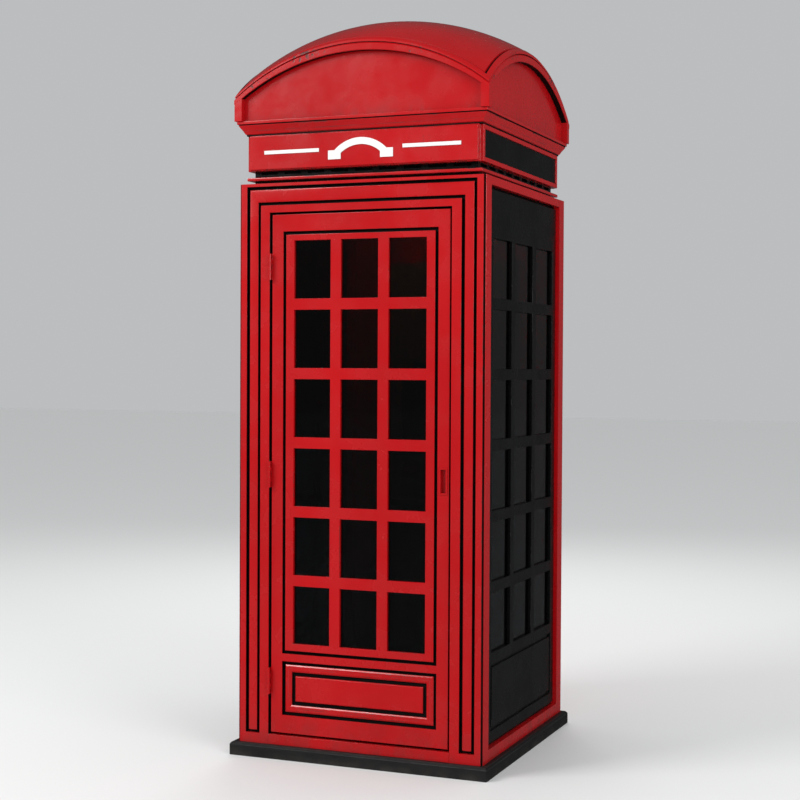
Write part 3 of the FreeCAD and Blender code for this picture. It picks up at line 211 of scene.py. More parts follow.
class Shell:
    """Surfaces gathered before they become one mesh, with wear, dirt and painted shade, and paint on them."""

    def __init__(self) -> None:
        """Starts empty."""
        self.points: list[np.ndarray] = []
        self.masks: list[np.ndarray] = []
        self.faces: list[list[int]] = []
        self.paints: list[int] = []
        self.count = 0

    def _add(self, points: np.ndarray, faces: np.ndarray, paint: np.ndarray, masks: np.ndarray) -> None:
        """Appends points and faces, moving the faces' numbers past those already here.

        Args:
            points: the points, shaped (points, 3).
            faces: the numbers of each face's points.
            paint: the paint of each face.
            masks: the wear, and the dirt and painted shade, of each point.
        """
        self.points.append(points)
        self.masks.append(masks)
        self.faces.extend((faces + self.count).tolist())
        self.paints.extend(paint.tolist())
        self.count += len(points)

    def patch(
        self,
        grid: np.ndarray,
        close_rows: bool = False,
        close_columns: bool = False,
        wear: np.ndarray | float = 0.0,
        grime_and_shade: np.ndarray | float = 0.0,
        paint: np.ndarray | int = 0,
    ) -> None:
        """Adds a surface given as a grid of points, or several at once.

        Args:
            grid: points shaped (..., rows, columns, 3).
            close_rows: whether the last row joins the first.
            close_columns: whether the last column joins the first.
            wear: how worn each point is, broadcast over (rows, columns).
            grime_and_shade: how much dirt and painted shade darken each point, broadcast the same way.
            paint: the material of each band between two rows, or of them all.
        """
        rows, columns = grid.shape[-3:-1]
        points = grid.reshape(-1, 3)
        index = np.arange(len(points)).reshape(-1, rows, columns)
        if close_rows:
            index = np.concatenate([index, index[:, :1]], axis=1)
        if close_columns:
            index = np.concatenate([index, index[:, :, :1]], axis=2)
        faces = np.stack(
            [index[:, :-1, :-1], index[:, :-1, 1:], index[:, 1:, 1:], index[:, 1:, :-1]], axis=-1
        )
        bands = np.broadcast_to(np.asarray(paint).reshape(1, -1, 1), faces.shape[:3])
        shape = grid.shape[:-1]
        masks = np.stack([np.broadcast_to(wear, shape), np.broadcast_to(grime_and_shade, shape)], axis=-1)
        self._add(points, faces.reshape(-1, 4), bands.reshape(-1), masks.reshape(-1, 2))

    def gather(self, points: np.ndarray, faces: Sequence[Sequence[int]]) -> None:
        """Takes in a finished mesh, unworn and clean, in the first paint.

        Args:
            points: its points, shaped (points, 3).
            faces: the numbers of each face's points.
        """
        self.points.append(points)
        self.masks.append(np.zeros((len(points), 2)))
        self.faces.extend([[v + self.count for v in face] for face in faces])
        self.paints.extend([0] * len(faces))
        self.count += len(points)

    def cap(self, loop: np.ndarray, paint: int = 0) -> None:
        """Closes a loop of points, or several loops, with flat faces.

        Args:
            loop: the loops' points, shaped (..., points, 3).
            paint: the faces' paint.
        """
        size = loop.shape[-2]
        points = loop.reshape(-1, 3)
        faces = np.arange(len(points)).reshape(-1, size)
        self._add(points, faces, np.full(len(faces), paint), np.zeros((len(points), 2)))

    def cap_ends(self, grid: np.ndarray) -> None:
        """Closes both ends of a carried section."""
        self.cap(np.swapaxes(grid, 0, 1)[[0, -1]])

    def carry(
        self, cut: Section, line: Outline, wall: Wall, face: float, closed: bool = False
    ) -> np.ndarray:
        """Carries a section along an outline on a wall, with mitred corners.

        A point of the section lands on the outline's point plus its push times the section's out (or
        its rise, where the push is upward), at the face less the section's depth.

        Args:
            cut: the section.
            line: the outline.
            wall: the wall that both lie on.
            face: the distance of the wall's face out from the booth's middle.
            closed: whether the section is a closed loop.

        Returns:
            The grid of points, one row for each point of the section.
        """
        across = line.points[:, 0] + line.push[:, 0] * cut.out[:, None]
        up = line.points[:, 1] + line.push[:, 1] * cut.rise[:, None]
        grid = wall.place(across, up, face - cut.deep[:, None])
        wear, grime_and_shade = cut.wear[:, None], cut.grime_and_shade[:, None]
        self.patch(grid, closed, line.closed, wear, grime_and_shade, cut.paint)
        return grid

    def turn(
        self,
        radii: Sequence[float],
        heights: Sequence[float],
        centre: Sequence[float],
        axis: str = "Z",
        steps: int = 48,
        wear: np.ndarray | float = 0.0,
    ) -> None:
        """Turns a profile about an axis: each point is centre + radius (cos, sin) + height along it.

        Args:
            radii: the profile's radii, starting and ending at 0 on a closed piece.
            heights: the profile's heights along +axis.
            centre: the axis's foot, or several of them.
            axis: Y or Z.
            steps: facets round the axis.
            wear: how worn each height is.
        """
        angle = np.linspace(0.0, 2 * math.pi, steps, endpoint=False)
        r, h = np.asarray(radii, float)[:, None], np.asarray(heights, float)[:, None]
        ring = [r * np.cos(angle), r * np.sin(angle), h + 0 * angle]
        order = {"Y": (1, 2, 0), "Z": (0, 1, 2)}[axis]
        grid = np.stack([ring[i] for i in order], axis=-1)
        grid = grid + np.asarray(centre, float).reshape(-1, 1, 1, 3)
        mask = np.asarray(wear, float).reshape(-1, 1) if np.ndim(wear) else wear
        self.patch(grid, False, True, mask)

    def block(
        self,
        low: Sequence[float],
        high: Sequence[float],
        soft: float = 0.002,
        steps: int = 3,
        paint: int = 0,
    ) -> None:
        """A box with rounded edges.

        Each point is a corner of the box shrunk by soft, plus soft times a unit normal that sweeps the
        corner's eighth of a ball.

        Args:
            low: the lowest corner.
            high: the highest corner.
            soft: the edges' radius.
            steps: facets round each edge.
            paint: the material.
        """
        low, high = np.asarray(low, float), np.asarray(high, float)
        soft = min(soft, float((high - low).min()) / 2.001)
        quarter = np.linspace(0.0, math.pi / 2, steps + 1)
        lon = (np.arange(4)[:, None] * math.pi / 2 + quarter).reshape(-1)
        side = np.repeat(np.array([[1, 1], [-1, 1], [-1, -1], [1, -1]]), steps + 1, axis=0)
        lat = np.concatenate([quarter - math.pi / 2, quarter])[:, None]
        rise = np.repeat([-1, 1], steps + 1)[:, None]
        normal = [np.cos(lat) * np.cos(lon), np.cos(lat) * np.sin(lon), np.sin(lat) + 0 * lon]
        signs = [side[:, 0] + 0 * lat, side[:, 1] + 0 * lat, rise + 0 * lon]
        half = (high - low) / 2 - soft
        local = np.stack([s * k + soft * n for s, k, n in zip(signs, half, normal)], axis=-1)
        grid = local + (low + high) / 2
        wear = np.maximum(np.abs(np.sin(2 * lon)) * np.cos(lat), np.abs(np.sin(2 * lat)))
        self.patch(grid, False, True, np.clip(wear, 0, 1), 0.0, paint)
        self.cap(grid[[0, -1]], paint)

    def mesh(self, name: str) -> bpy.types.Mesh:
        """Joins everything into one mesh with shared points and outward faces.

        Args:
            name: the mesh's name.

        Returns:
            The mesh, with its wear and its dirt-and-shade attributes, and its paint as material numbers.
        """
        mesh = bpy.data.meshes.new(name)
        mesh.from_pydata(np.concatenate(self.points).tolist(), [], self.faces)
        masks = np.concatenate(self.masks)
        for column, mask in enumerate(("wear", "grime_and_shade")):
            layer = mesh.attributes.new(mask, "FLOAT", "POINT")
            layer.data.foreach_set("value", np.ascontiguousarray(masks[:, column], np.float32))
        mesh.polygons.foreach_set("material_index", np.array(self.paints, np.int32))
        work = bmesh.new()
        work.from_mesh(mesh)
        bmesh.ops.remove_doubles(work, verts=work.verts, dist=MERGE)
        bmesh.ops.dissolve_degenerate(work, edges=work.edges, dist=MERGE)
        bmesh.ops.recalc_face_normals(work, faces=work.faces)
        work.to_mesh(mesh)
        work.free()
        return mesh


def level(grey: float) -> Colour:
    """A neutral colour."""
    return (grey, grey, grey)


def linear(red: int, green: int, blue: int) -> Colour:
    """Turns a screen colour of 0 to 255 into linear light.

    A channel c up to 0.04045 becomes c / 12.92, and past that ((c + 0.055) / 1.055)^2.4.

    Args:
        red: the red channel.
        green: the green channel.
        blue: the blue channel.

    Returns:
        The colour in linear light.
    """
    screen = np.array([red, green, blue]) / 255.0
    light = np.where(screen <= 0.04045, screen / 12.92, ((screen + 0.055) / 1.055) ** 2.4)
    return tuple(float(v) for v in light)


class Wiring:
    """Adds nodes to one shader tree."""

    def __init__(self, tree: bpy.types.NodeTree) -> None:
        """Takes the tree to work on."""
        self.tree = tree

    def add(self, kind: str, inputs: dict | None = None, **settings: object) -> bpy.types.Node:
        """Adds a node, sets its properties and fills its sockets.

        Args:
            kind: the node's type, without its ShaderNode prefix.
            inputs: a value or another node's socket for each input.
            **settings: the node's properties.

        Returns:
            The node.
        """
        node = self.tree.nodes.new("ShaderNode" + kind)
        for name, value in settings.items():
            setattr(node, name, value)
        for name, value in (inputs or {}).items():
            if isinstance(value, bpy.types.NodeSocket):
                self.tree.links.new(value, node.inputs[name])
            elif isinstance(value, tuple) and node.inputs[name].type == "RGBA":
                node.inputs[name].default_value = (*value, 1.0)
            else:
                node.inputs[name].default_value = value
        return node

    def math(self, operation: str, a: object, b: object = 0.5, clamp: bool = False) -> object:
        """The result of one sum."""
        return self.add("Math", {0: a, 1: b}, operation=operation, use_clamp=clamp).outputs[0]

    def mix(self, factor: object, a: object, b: object) -> object:
        """A blend of two colours."""
        return self.add("Mix", {0: factor, 6: a, 7: b}, data_type="RGBA").outputs[2]

    def span(self, value: object, low: float, high: float, start: float = 0.0, end: float = 1.0) -> object:
        """A value carried smoothly from low..high to start..end."""
        inputs = {"Value": value, "From Min": low, "From Max": high, "To Min": start, "To Max": end}
        return self.add("MapRange", inputs, interpolation_type="SMOOTHSTEP").outputs[0]

    def place(self, stretch: Sequence[float]) -> object:
        """Object coordinates, stretched along each axis."""
        coordinates = self.add("TexCoord").outputs["Object"]
        return self.add("Mapping", {"Vector": coordinates, "Scale": stretch}).outputs[0]

    def noise(self, scale: object, detail: float = 2.0, where: object = None, bend: float = 0.0) -> object:
        """Soft noise on Object coordinates.

        Args:
            scale: the noise's scale.
            detail: how many octaves it has.
            where: its vector, or None for Object coordinates.
            bend: how far it is distorted.

        Returns:
            The noise's socket, from 0 to 1.
        """
        inputs = {"Scale": scale, "Detail": detail, "Distortion": bend}
        inputs["Vector"] = where if where is not None else self.add("TexCoord").outputs["Object"]
        return self.add("TexNoise", inputs).outputs[0]

    def bump(self, height: object, depth: float) -> object:
        """A normal bent by a height of 0 to 1 over a depth in metres."""
        return self.add("Bump", {"Height": height, "Distance": depth, "Strength": 1.0}).outputs[0]

    def effect(self, effect: "Effect", **inputs: float) -> object:
        """Places a shared effect with its own values.

        Args:
            effect: which effect.
            **inputs: the values of its inputs.

        Returns:
            The effect's output socket.
        """
        node = self.tree.nodes.new("ShaderNodeGroup")
        node.node_tree = effect.tree()
        for name, value in inputs.items():
            node.inputs[name].default_value = value
        return node.outputs[0]


class Effect(Enum):
    """A shared shader node group: its inputs with their first values, and its output."""

    WEAR = ({"Amount": 0.4, "Scale": 60.0}, "Worn")
    # dirt splashed up from the ground, and dirt and painted shade in inward angles
    GRIME_AND_SHADE = ({"Amount": 0.4, "Scale": 14.0, "Splash": 0.35}, "Dirt")
    SKIN = ({"Fine": 0.3, "Coarse": 0.7, "Scale": 16.0}, "Height")
    DRIFT = ({"Scale": 2.0}, "Drift")

    def tree(self) -> bpy.types.NodeTree:
        """Makes the group the first time, and finds it after that.

        Returns:
            The node group.
        """
        name = "booth_" + self.name.lower()
        if name in bpy.data.node_groups:
            return bpy.data.node_groups[name]
        inputs, output = self.value
        tree = bpy.data.node_groups.new(name, "ShaderNodeTree")
        for label, start in inputs.items():
            socket = tree.interface.new_socket(label, in_out="INPUT", socket_type="NodeSocketFloat")
            socket.default_value = start
        tree.interface.new_socket(output, in_out="OUTPUT", socket_type="NodeSocketFloat")
        given = tree.nodes.new("NodeGroupInput").outputs
        recipe = {Effect.WEAR: _wear, Effect.GRIME_AND_SHADE: _grime_and_shade, Effect.SKIN: _skin, Effect.DRIFT: _drift}[self]
        result = recipe(Wiring(tree), given)
        tree.links.new(result, tree.nodes.new("NodeGroupOutput").inputs[0])
        return tree


def _wear(w: Wiring, given: object) -> object:
    """Paint rubbed through where the wear mask and two noises together pass a threshold.

    Args:
        w: the group's wiring.
        given: the group's inputs.

    Returns:
        The socket that says how worn each point is.
    """
    mask = w.add("Attribute", attribute_name="wear").outputs["Fac"]
    fine = w.noise(given["Scale"], 6.0)
    wide = w.noise(w.math("MULTIPLY", given["Scale"], 0.07), 2.0)
    chance = w.math("ADD", w.math("MULTIPLY", fine, 0.7), w.math("MULTIPLY", wide, 0.8))
    total = w.math("ADD", w.math("MULTIPLY", mask, given["Amount"]), chance)
    return w.math("MULTIPLY", w.span(total, 1.02, 1.14), w.span(mask, 0.1, 0.5))


def _grime_and_shade(w: Wiring, given: object) -> object:
    """Dirt and painted shade in inward angles, and dirt splashed up from the ground, broken up by noise.

    Args:
        w: the group's wiring.
        given: the group's inputs.

    Returns:
        The socket that says how much dirt and painted shade darken each point.
    """
    # inward angles, darkened by dirt and by painted shade
    mask = w.add("Attribute", attribute_name="grime_and_shade").outputs["Fac"]
    height = w.add("SeparateXYZ", {0: w.add("TexCoord").outputs["Object"]}).outputs[2]
    low = w.math("SUBTRACT", 1.0, w.math("DIVIDE", height, given["Splash"]), True)
    where = w.math("ADD", mask, w.math("MULTIPLY", low, low), True)
    patches = w.span(w.noise(given["Scale"], 5.0), 0.3, 0.75)
    return w.math("MULTIPLY", w.math("MULTIPLY", where, patches), given["Amount"], True)


def _skin(w: Wiring, given: object) -> object:
    """Height of brushed paint on cast iron: a fine orange peel on slow dents.

    Args:
        w: the group's wiring.
        given: the group's inputs.

    Returns:
        The socket with the height.
    """
    fine = w.math("MULTIPLY", w.noise(320.0, 2.0), given["Fine"])
    slow = w.math("MULTIPLY", w.noise(given["Scale"], 2.0), given["Coarse"])
    return w.math("ADD", fine, slow)


def _drift(w: Wiring, given: object) -> object:
    """Slow change over the surface, drawn out downwards like weathering."""
    return w.span(w.noise(given["Scale"], 4.0, w.place((1.0, 1.0, 0.35))), 0.3, 0.7)


@dataclass(frozen=True)
class Finish:
    """A surface finish. Each kind of finish says how it fills the shader's sockets."""

    name: str
    colour: Colour = (0.5, 0.5, 0.5)
    rough: float = 0.4

    def sockets(self, w: Wiring) -> dict:
        """The shader's inputs for this finish."""
        raise NotImplementedError

    def material(self) -> bpy.types.Material:
        """Makes the material the first time, and finds it after that.

        Returns:
            The material.
        """
        name = "booth_" + self.name
        if name in bpy.data.materials:
            return bpy.data.materials[name]
        material = bpy.data.materials.new(name)
        material.use_nodes = True
        material.diffuse_color = (*self.colour, 1.0)
        material.node_tree.nodes.clear()
        w = Wiring(material.node_tree)
        shader = w.add("BsdfPrincipled", self.sockets(w))
        w.add("OutputMaterial", {"Surface": shader.outputs[0]})
        return material


@dataclass(frozen=True)
class Enamel(Finish):
    """Gloss paint on cast iron, weathered, chipped along its edges, and darkened in its angles by dirt and
    painted shade.
    """

    shade: Colour = (0.5, 0.5, 0.5)
    primer: Colour = (0.09, 0.075, 0.065)
    # near-black mixed in by the mask: dirt splashed up low, and dirt and painted shade in inward angles
    dirt: Colour = (0.03, 0.024, 0.02)
    coat: float = 0.5
    wear: float = 0.26
    # how strongly dirt and painted shade darken the paint
    grime_and_shade: float = 0.5
    dents: float = 0.0011
    specular: float = 0.4

    def sockets(self, w: Wiring) -> dict:
        """Paint that drifts between two tones, with dirt and painted shade over it and primer showing through
        it.

        Args:
            w: the material's wiring.

        Returns:
            A value or a socket for each of the shader's inputs.
        """
        drift = w.effect(Effect.DRIFT, Scale=2.2)
        # dirt splashed up from the ground, and dirt and painted shade in inward angles
        dirt = w.effect(Effect.GRIME_AND_SHADE, Amount=self.grime_and_shade, Scale=15.0, Splash=0.3)
        worn = w.effect(Effect.WEAR, Amount=self.wear, Scale=70.0)
        painted = w.mix(drift, self.colour, self.shade)
        colour = w.mix(worn, w.mix(dirt, painted, self.dirt), self.primer)
        spoilt = w.math("ADD", w.math("MULTIPLY", dirt, 0.3), w.math("MULTIPLY", worn, 0.2))
        uneven = w.span(w.noise(9.0, 4.0), 0.3, 0.7, self.rough - 0.04, self.rough + 0.06)
        skin = w.effect(Effect.SKIN, Fine=0.05, Coarse=0.9, Scale=13.0)
        height = w.math("SUBTRACT", skin, w.math("MULTIPLY", worn, 0.25))
        return {
            "Base Color": colour,
            "Roughness": w.math("ADD", uneven, spoilt, True),
            "Specular IOR Level": self.specular,
            "Coat Weight": self.coat,
            "Coat Roughness": 0.12,
            "Normal": w.bump(height, self.dents),
        }


@dataclass(frozen=True)
class Metal(Finish):
    """Bare or plated metal with handling marks, dull in its angles."""

    tarnish: Colour = (0.2, 0.15, 0.1)
    dulling: float = 0.4
    scratches: Sequence[float] = (40.0, 40.0, 400.0)

    def sockets(self, w: Wiring) -> dict:
        """Metal under patchy tarnish, with fine lines in its roughness and height.

        Args:
            w: the material's wiring.

        Returns:
            A value or a socket for each of the shader's inputs.
        """
        patches = w.span(w.noise(24.0, 5.0), 0.42, 0.75, 0.0, self.dulling)
        dirt = w.effect(Effect.GRIME_AND_SHADE, Amount=0.7, Scale=60.0, Splash=0.01)
        dull = w.math("ADD", patches, dirt, True)
        lines = w.noise(1.0, 3.0, w.place(self.scratches))
        brushed = w.span(lines, 0.3, 0.7, self.rough, self.rough + 0.12)
        return {
            "Base Color": w.mix(dull, self.colour, self.tarnish),
            "Metallic": 1.0,
            "Roughness": w.math("ADD", w.math("MULTIPLY", dull, 0.35), brushed, True),
            "Normal": w.bump(lines, 0.00005),
        }


@dataclass(frozen=True)
class Glass(Finish):
    """Glass tinted nearly black, a painted shade over what lies behind it, rolled a little unevenly."""

    def sockets(self, w: Wiring) -> dict:
        """Clear transmission through a dark tint that paints shade over what lies behind; it varies a little,
        with slow waves.

        Args:
            w: the material's wiring.

        Returns:
            A value or a socket for each of the shader's inputs.
        """
        film = w.span(w.noise(7.0, 5.0), 0.35, 0.8, self.rough, self.rough + 0.05)
        tint = w.mix(w.effect(Effect.DRIFT, Scale=3.0), self.colour, tuple(c * 0.8 for c in self.colour))
        return {
            "Base Color": tint,
            "Roughness": film,
            "Transmission Weight": 1.0,
            "IOR": 1.5,
            "Normal": w.bump(w.noise(6.0, 1.0, w.place((1.0, 1.0, 0.6))), 0.0012),
        }


@dataclass(frozen=True)
class Opal(Finish):
    """Milky lamp glass, lit from inside."""

    glow: float = 60.0

    def sockets(self, w: Wiring) -> dict:
        """A pale body that scatters light, with faint clouds and a bubble or two.

        Args:
            w: the material's wiring.

        Returns:
            A value or a socket for each of the shader's inputs.
        """
        clouds = w.noise(30.0, 3.0)
        return {
            "Base Color": w.mix(clouds, self.colour, tuple(c * 0.9 for c in self.colour)),
            "Roughness": w.span(clouds, 0.3, 0.7, self.rough, self.rough + 0.06),
            "Subsurface Weight": 0.3,
            "Subsurface Scale": 0.01,
            "Emission Color": w.mix(clouds, (1.0, 0.9, 0.75), (0.92, 0.8, 0.64)),
            "Emission Strength": self.glow,
            "Normal": w.bump(w.noise(90.0, 1.0), 0.0002),
        }


@dataclass(frozen=True)
class Timber(Finish):
    """Varnished hardwood with its grain running along one axis."""

    dark: Colour = (0.06, 0.02, 0.008)
    bare: Colour = (0.3, 0.17, 0.08)
    grain: Sequence[float] = (1.0, 1.0, 0.06)

    def sockets(self, w: Wiring) -> dict:
        """Rings drawn out along the grain, with short dark pores.

        Args:
            w: the material's wiring.

        Returns:
            A value or a socket for each of the shader's inputs.
        """
        where = w.place(self.grain)
        wave = {"Vector": where, "Scale": 5.0, "Distortion": 9.0, "Detail": 4.0, "Detail Scale": 1.2}
        rings = w.add("TexWave", wave).outputs["Fac"]
        pores = w.span(w.noise(700.0, 2.0, where), 0.58, 0.72)
        body = w.mix(w.span(rings, 0.0, 1.0, 0.1, 0.5), self.colour, self.dark)
        pored = w.mix(w.math("MULTIPLY", pores, 0.7), body, self.dark)
        worn = w.effect(Effect.WEAR, Amount=0.3, Scale=50.0)
        rubbed = w.math("ADD", self.rough, w.math("MULTIPLY", worn, 0.3))
        return {
            "Base Color": w.mix(worn, pored, self.bare),
            "Roughness": w.math("ADD", w.math("MULTIPLY", pores, 0.2), rubbed),
            "Coat Weight": 0.3,
            "Coat Roughness": 0.15,
            "Normal": w.bump(w.math("SUBTRACT", 1.0, pores), 0.0002),
        }


class Grit(Enum):
    """How the surface of a rough finish is broken up: its scale and its depth in metres."""

    CRACKLE = (520.0, 0.0002)
    STONE = (160.0, 0.0009)
    PLATE = (60.0, 0.0006)


@dataclass(frozen=True)
class Gritty(Finish):
    """A rough finish: wrinkled case paint, painted stone, or worn iron plate."""

    pale: Colour = (0.1, 0.1, 0.1)
    mud: Colour = (0.09, 0.075, 0.06)
    grit: Grit = Grit.STONE

    def sockets(self, w: Wiring) -> dict:
        """Cells of grit, with paler rubbed tops and dirt splashed low down.

        Args:
            w: the material's wiring.

        Returns:
            A value or a socket for each of the shader's inputs.
        """
        scale, depth = self.grit.value
        stones = w.add("TexVoronoi", {"Scale": scale, "Randomness": 1.0}, feature="SMOOTH_F1")
        stone = stones.outputs["Distance"]
        patches = w.noise(scale * 0.06, 6.0)
        rubbed = w.math("MULTIPLY", w.span(patches, 0.5, 0.75), w.span(stone, 0.5, 0.1))
        worn = w.effect(Effect.WEAR, Amount=0.5, Scale=60.0)
        pale = w.math("MAXIMUM", w.math("MULTIPLY", rubbed, 0.5), w.math("MULTIPLY", worn, 0.8))
        dirt = w.effect(Effect.GRIME_AND_SHADE, Amount=0.35, Scale=20.0, Splash=0.06)
        return {
            "Base Color": w.mix(dirt, w.mix(pale, self.colour, self.pale), self.mud),
            "Roughness": w.span(patches, 0.3, 0.7, self.rough, self.rough + 0.15),
            "Normal": w.bump(w.math("ADD", stone, patches), depth),
        }


@dataclass(frozen=True)
class Bakelite(Finish):
    """Moulded black phenolic, faintly marbled and polished by hands."""

    rubbed: Colour = (0.07, 0.055, 0.045)

    def sockets(self, w: Wiring) -> dict:
        """Swirls just paler than the body, under a hand-worn polish.

        Args:
            w: the material's wiring.

        Returns:
            A value or a socket for each of the shader's inputs.
        """
        swirl = w.span(w.noise(22.0, 5.0, bend=1.6), 0.45, 0.7)
        marbled = w.mix(swirl, self.colour, tuple(c * 2.2 for c in self.colour))
        worn = w.effect(Effect.WEAR, Amount=0.3, Scale=90.0)
        handled = w.span(w.noise(16.0, 5.0), 0.3, 0.7, self.rough, self.rough + 0.1)
        return {
            "Base Color": w.mix(worn, marbled, self.rubbed),
            "Roughness": w.math("ADD", handled, w.math("MULTIPLY", worn, 0.2)),
            "Coat Weight": 0.2,
            "Normal": w.bump(w.noise(40.0, 2.0), 0.00015),
        }


RED = Enamel("red_enamel", linear(188, 13, 19), 0.24, shade=linear(177, 9, 15), primer=(0.10, 0.022, 0.018))
# gloss black as painted shade: the side window grids and beads and the vented neck are finished black to
# stand for shade
PAINTED_SHADE_ENAMEL = Enamel(
    "painted_shade_enamel", level(0.003), 0.26, shade=level(0.005), primer=level(0.03), coat=0.0, dents=0.0014,
    specular=0.25,
)
# painted shadow: matte near-black laid in channels, reveals, gaps and under lips so that they read as dark
# lines
PAINTED_SHADOW = Enamel(
    "painted_shadow_black", level(0.002), 0.6, shade=level(0.004), primer=level(0.01), coat=0.0, wear=0.0, grime_and_shade=0.15,
    specular=0.15,
)
SIGN_BLACK = Enamel(
    "sign_black", level(0.003), 0.28, shade=level(0.004), primer=level(0.03), coat=0.0, specular=0.25
)
WHITE = Enamel(
    "white_enamel", level(0.78), 0.3, shade=(0.74, 0.73, 0.7), primer=(0.3, 0.27, 0.22), wear=0.12, grime_and_shade=0.3
)
SIGN_WHITE = Enamel(
    "sign_white", level(0.86), 0.3, shade=(0.83, 0.82, 0.79), primer=level(0.4), wear=0.05, grime_and_shade=0.05
)
DIAL_WHITE = Enamel(
    "dial_enamel", (0.8, 0.78, 0.7), 0.2, shade=(0.76, 0.73, 0.63), primer=(0.1, 0.08, 0.06), grime_and_shade=0.5,
    dents=0.0002,
)
INK = Enamel(
    "dial_ink", level(0.01), 0.45, shade=level(0.02), primer=level(0.1), coat=0.0, wear=0.0, dents=0.0001
)
PLINTH = Gritty("plinth_black", level(0.008), 0.5, pale=level(0.03), grit=Grit.STONE)
FLOOR_IRON = Gritty("floor_iron", (0.06, 0.058, 0.056), 0.45, pale=level(0.2), grit=Grit.PLATE)
CASE = Gritty("case_crackle", level(0.008), 0.35, pale=level(0.07), grit=Grit.CRACKLE)
# tinted nearly black: painted shade that darkens the inside seen through the panes
SHADE_TINTED_GLASS = Glass("shade_tinted_glass", (0.034, 0.038, 0.042), 0.015)
OPAL = Opal("opal_glass", (0.88, 0.87, 0.83), 0.18)
BRASS = Metal("brass", (0.72, 0.48, 0.18), 0.24, tarnish=(0.22, 0.13, 0.05))
CHROME = Metal("chrome", (0.62, 0.63, 0.65), 0.1, tarnish=(0.3, 0.29, 0.27), dulling=0.2)
STEEL = Metal("conduit_steel", (0.45, 0.46, 0.47), 0.4, tarnish=(0.22, 0.2, 0.18), dulling=0.6)
IRON = Metal("bracket_iron", (0.12, 0.12, 0.125), 0.45, tarnish=(0.07, 0.045, 0.03), dulling=0.6)
TIMBER = Timber("varnished_timber", (0.2, 0.075, 0.026), 0.32)
SHELF_TIMBER = Timber("shelf_timber", (0.2, 0.075, 0.026), 0.32, grain=(0.06, 1.0, 1.0))
BAKELITE = Bakelite("bakelite", level(0.009), 0.16)

SLOTS: dict[str, str] = {part["node"]: part["material_slot"] for part in frame["record"]["subparts"]}
SLOT_FINISH: dict[str, Finish] = {
    "red_paint": RED, "black_paint": PAINTED_SHADE_ENAMEL, "plinth_black": PLINTH, "floor_iron": FLOOR_IRON,
    "window_glass": SHADE_TINTED_GLASS, "sign_black": SIGN_BLACK, "sign_white": SIGN_WHITE, "white_paint": WHITE,
    "opal_glass": OPAL, "conduit_steel": STEEL, "brass": BRASS, "timber": TIMBER, "bracket_iron": IRON,
    "case_black": CASE, "chrome": CHROME, "dial_enamel": DIAL_WHITE, "bakelite": BAKELITE,
}


def placed(name: str, data: bpy.types.ID) -> bpy.types.Object:
    """Puts data into the scene as an object at the origin.

    Args:
        name: the object's name.
        data: its mesh, light or camera.

    Returns:
        The object.
    """
    thing = bpy.data.objects.new(name, data)
    bpy.context.scene.collection.objects.link(thing)
    return thing


def read(items: object, field: str, kind: type = int, width: int = 1) -> np.ndarray:
    """One field of every item of a mesh, as an array.

    Args:
        items: the mesh's points, loops or faces.
        field: the field's name.
        kind: the kind of its numbers.
        width: how many numbers it has.

    Returns:
        The numbers, shaped (items,) or (items, width).
    """
    values = np.zeros(len(items) * width, {int: np.int32, float: np.float32}[kind])
    items.foreach_get(field, values)
    return values if width == 1 else values.reshape(-1, width)


def settle(piece: bpy.types.Object, body: str, nodes: Sequence[str] = ()) -> bpy.types.Object:
    """Gives a finished piece its body and the nodes it stands for.

    Args:
        piece: the piece, with its place in its mesh.
        body: the body that it moves with.
        nodes: the nodes that it stands for.

    Returns:
        The piece.
    """
    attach(piece, body)
    if nodes:
        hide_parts(*nodes)
    LOG.info("%s: %d faces", piece.name, len(piece.data.polygons))
    return piece


def smooth(piece: bpy.types.Object) -> None:
    """Shades a piece smoothly between its crisp edges, with its flat faces kept flat.

    Args:
        piece: the piece.
    """
    mesh = piece.data
    mesh.polygons.foreach_set("use_smooth", np.ones(len(mesh.polygons), bool))
    mesh.set_sharp_from_angle(angle=SHARP)
    weighted = piece.modifiers.new("flat_faces", "WEIGHTED_NORMAL")
    weighted.keep_sharp = True
    weighted.weight = 100


def stand(
    shell: Shell, name: str, finishes: Sequence[Finish], body: str, nodes: Sequence[str] = ()
) -> bpy.types.Object:
    """Makes a shell into a piece.

    Args:
        shell: the surfaces.
        name: the piece's name.
        finishes: the finish for each paint number.
        body: the body that it moves with.
        nodes: the nodes that it stands for.

    Returns:
        The piece.
    """
    piece = placed(name, shell.mesh(name))
    for finish in finishes:
        piece.data.materials.append(finish.material())
    smooth(piece)
    return settle(piece, body, nodes)


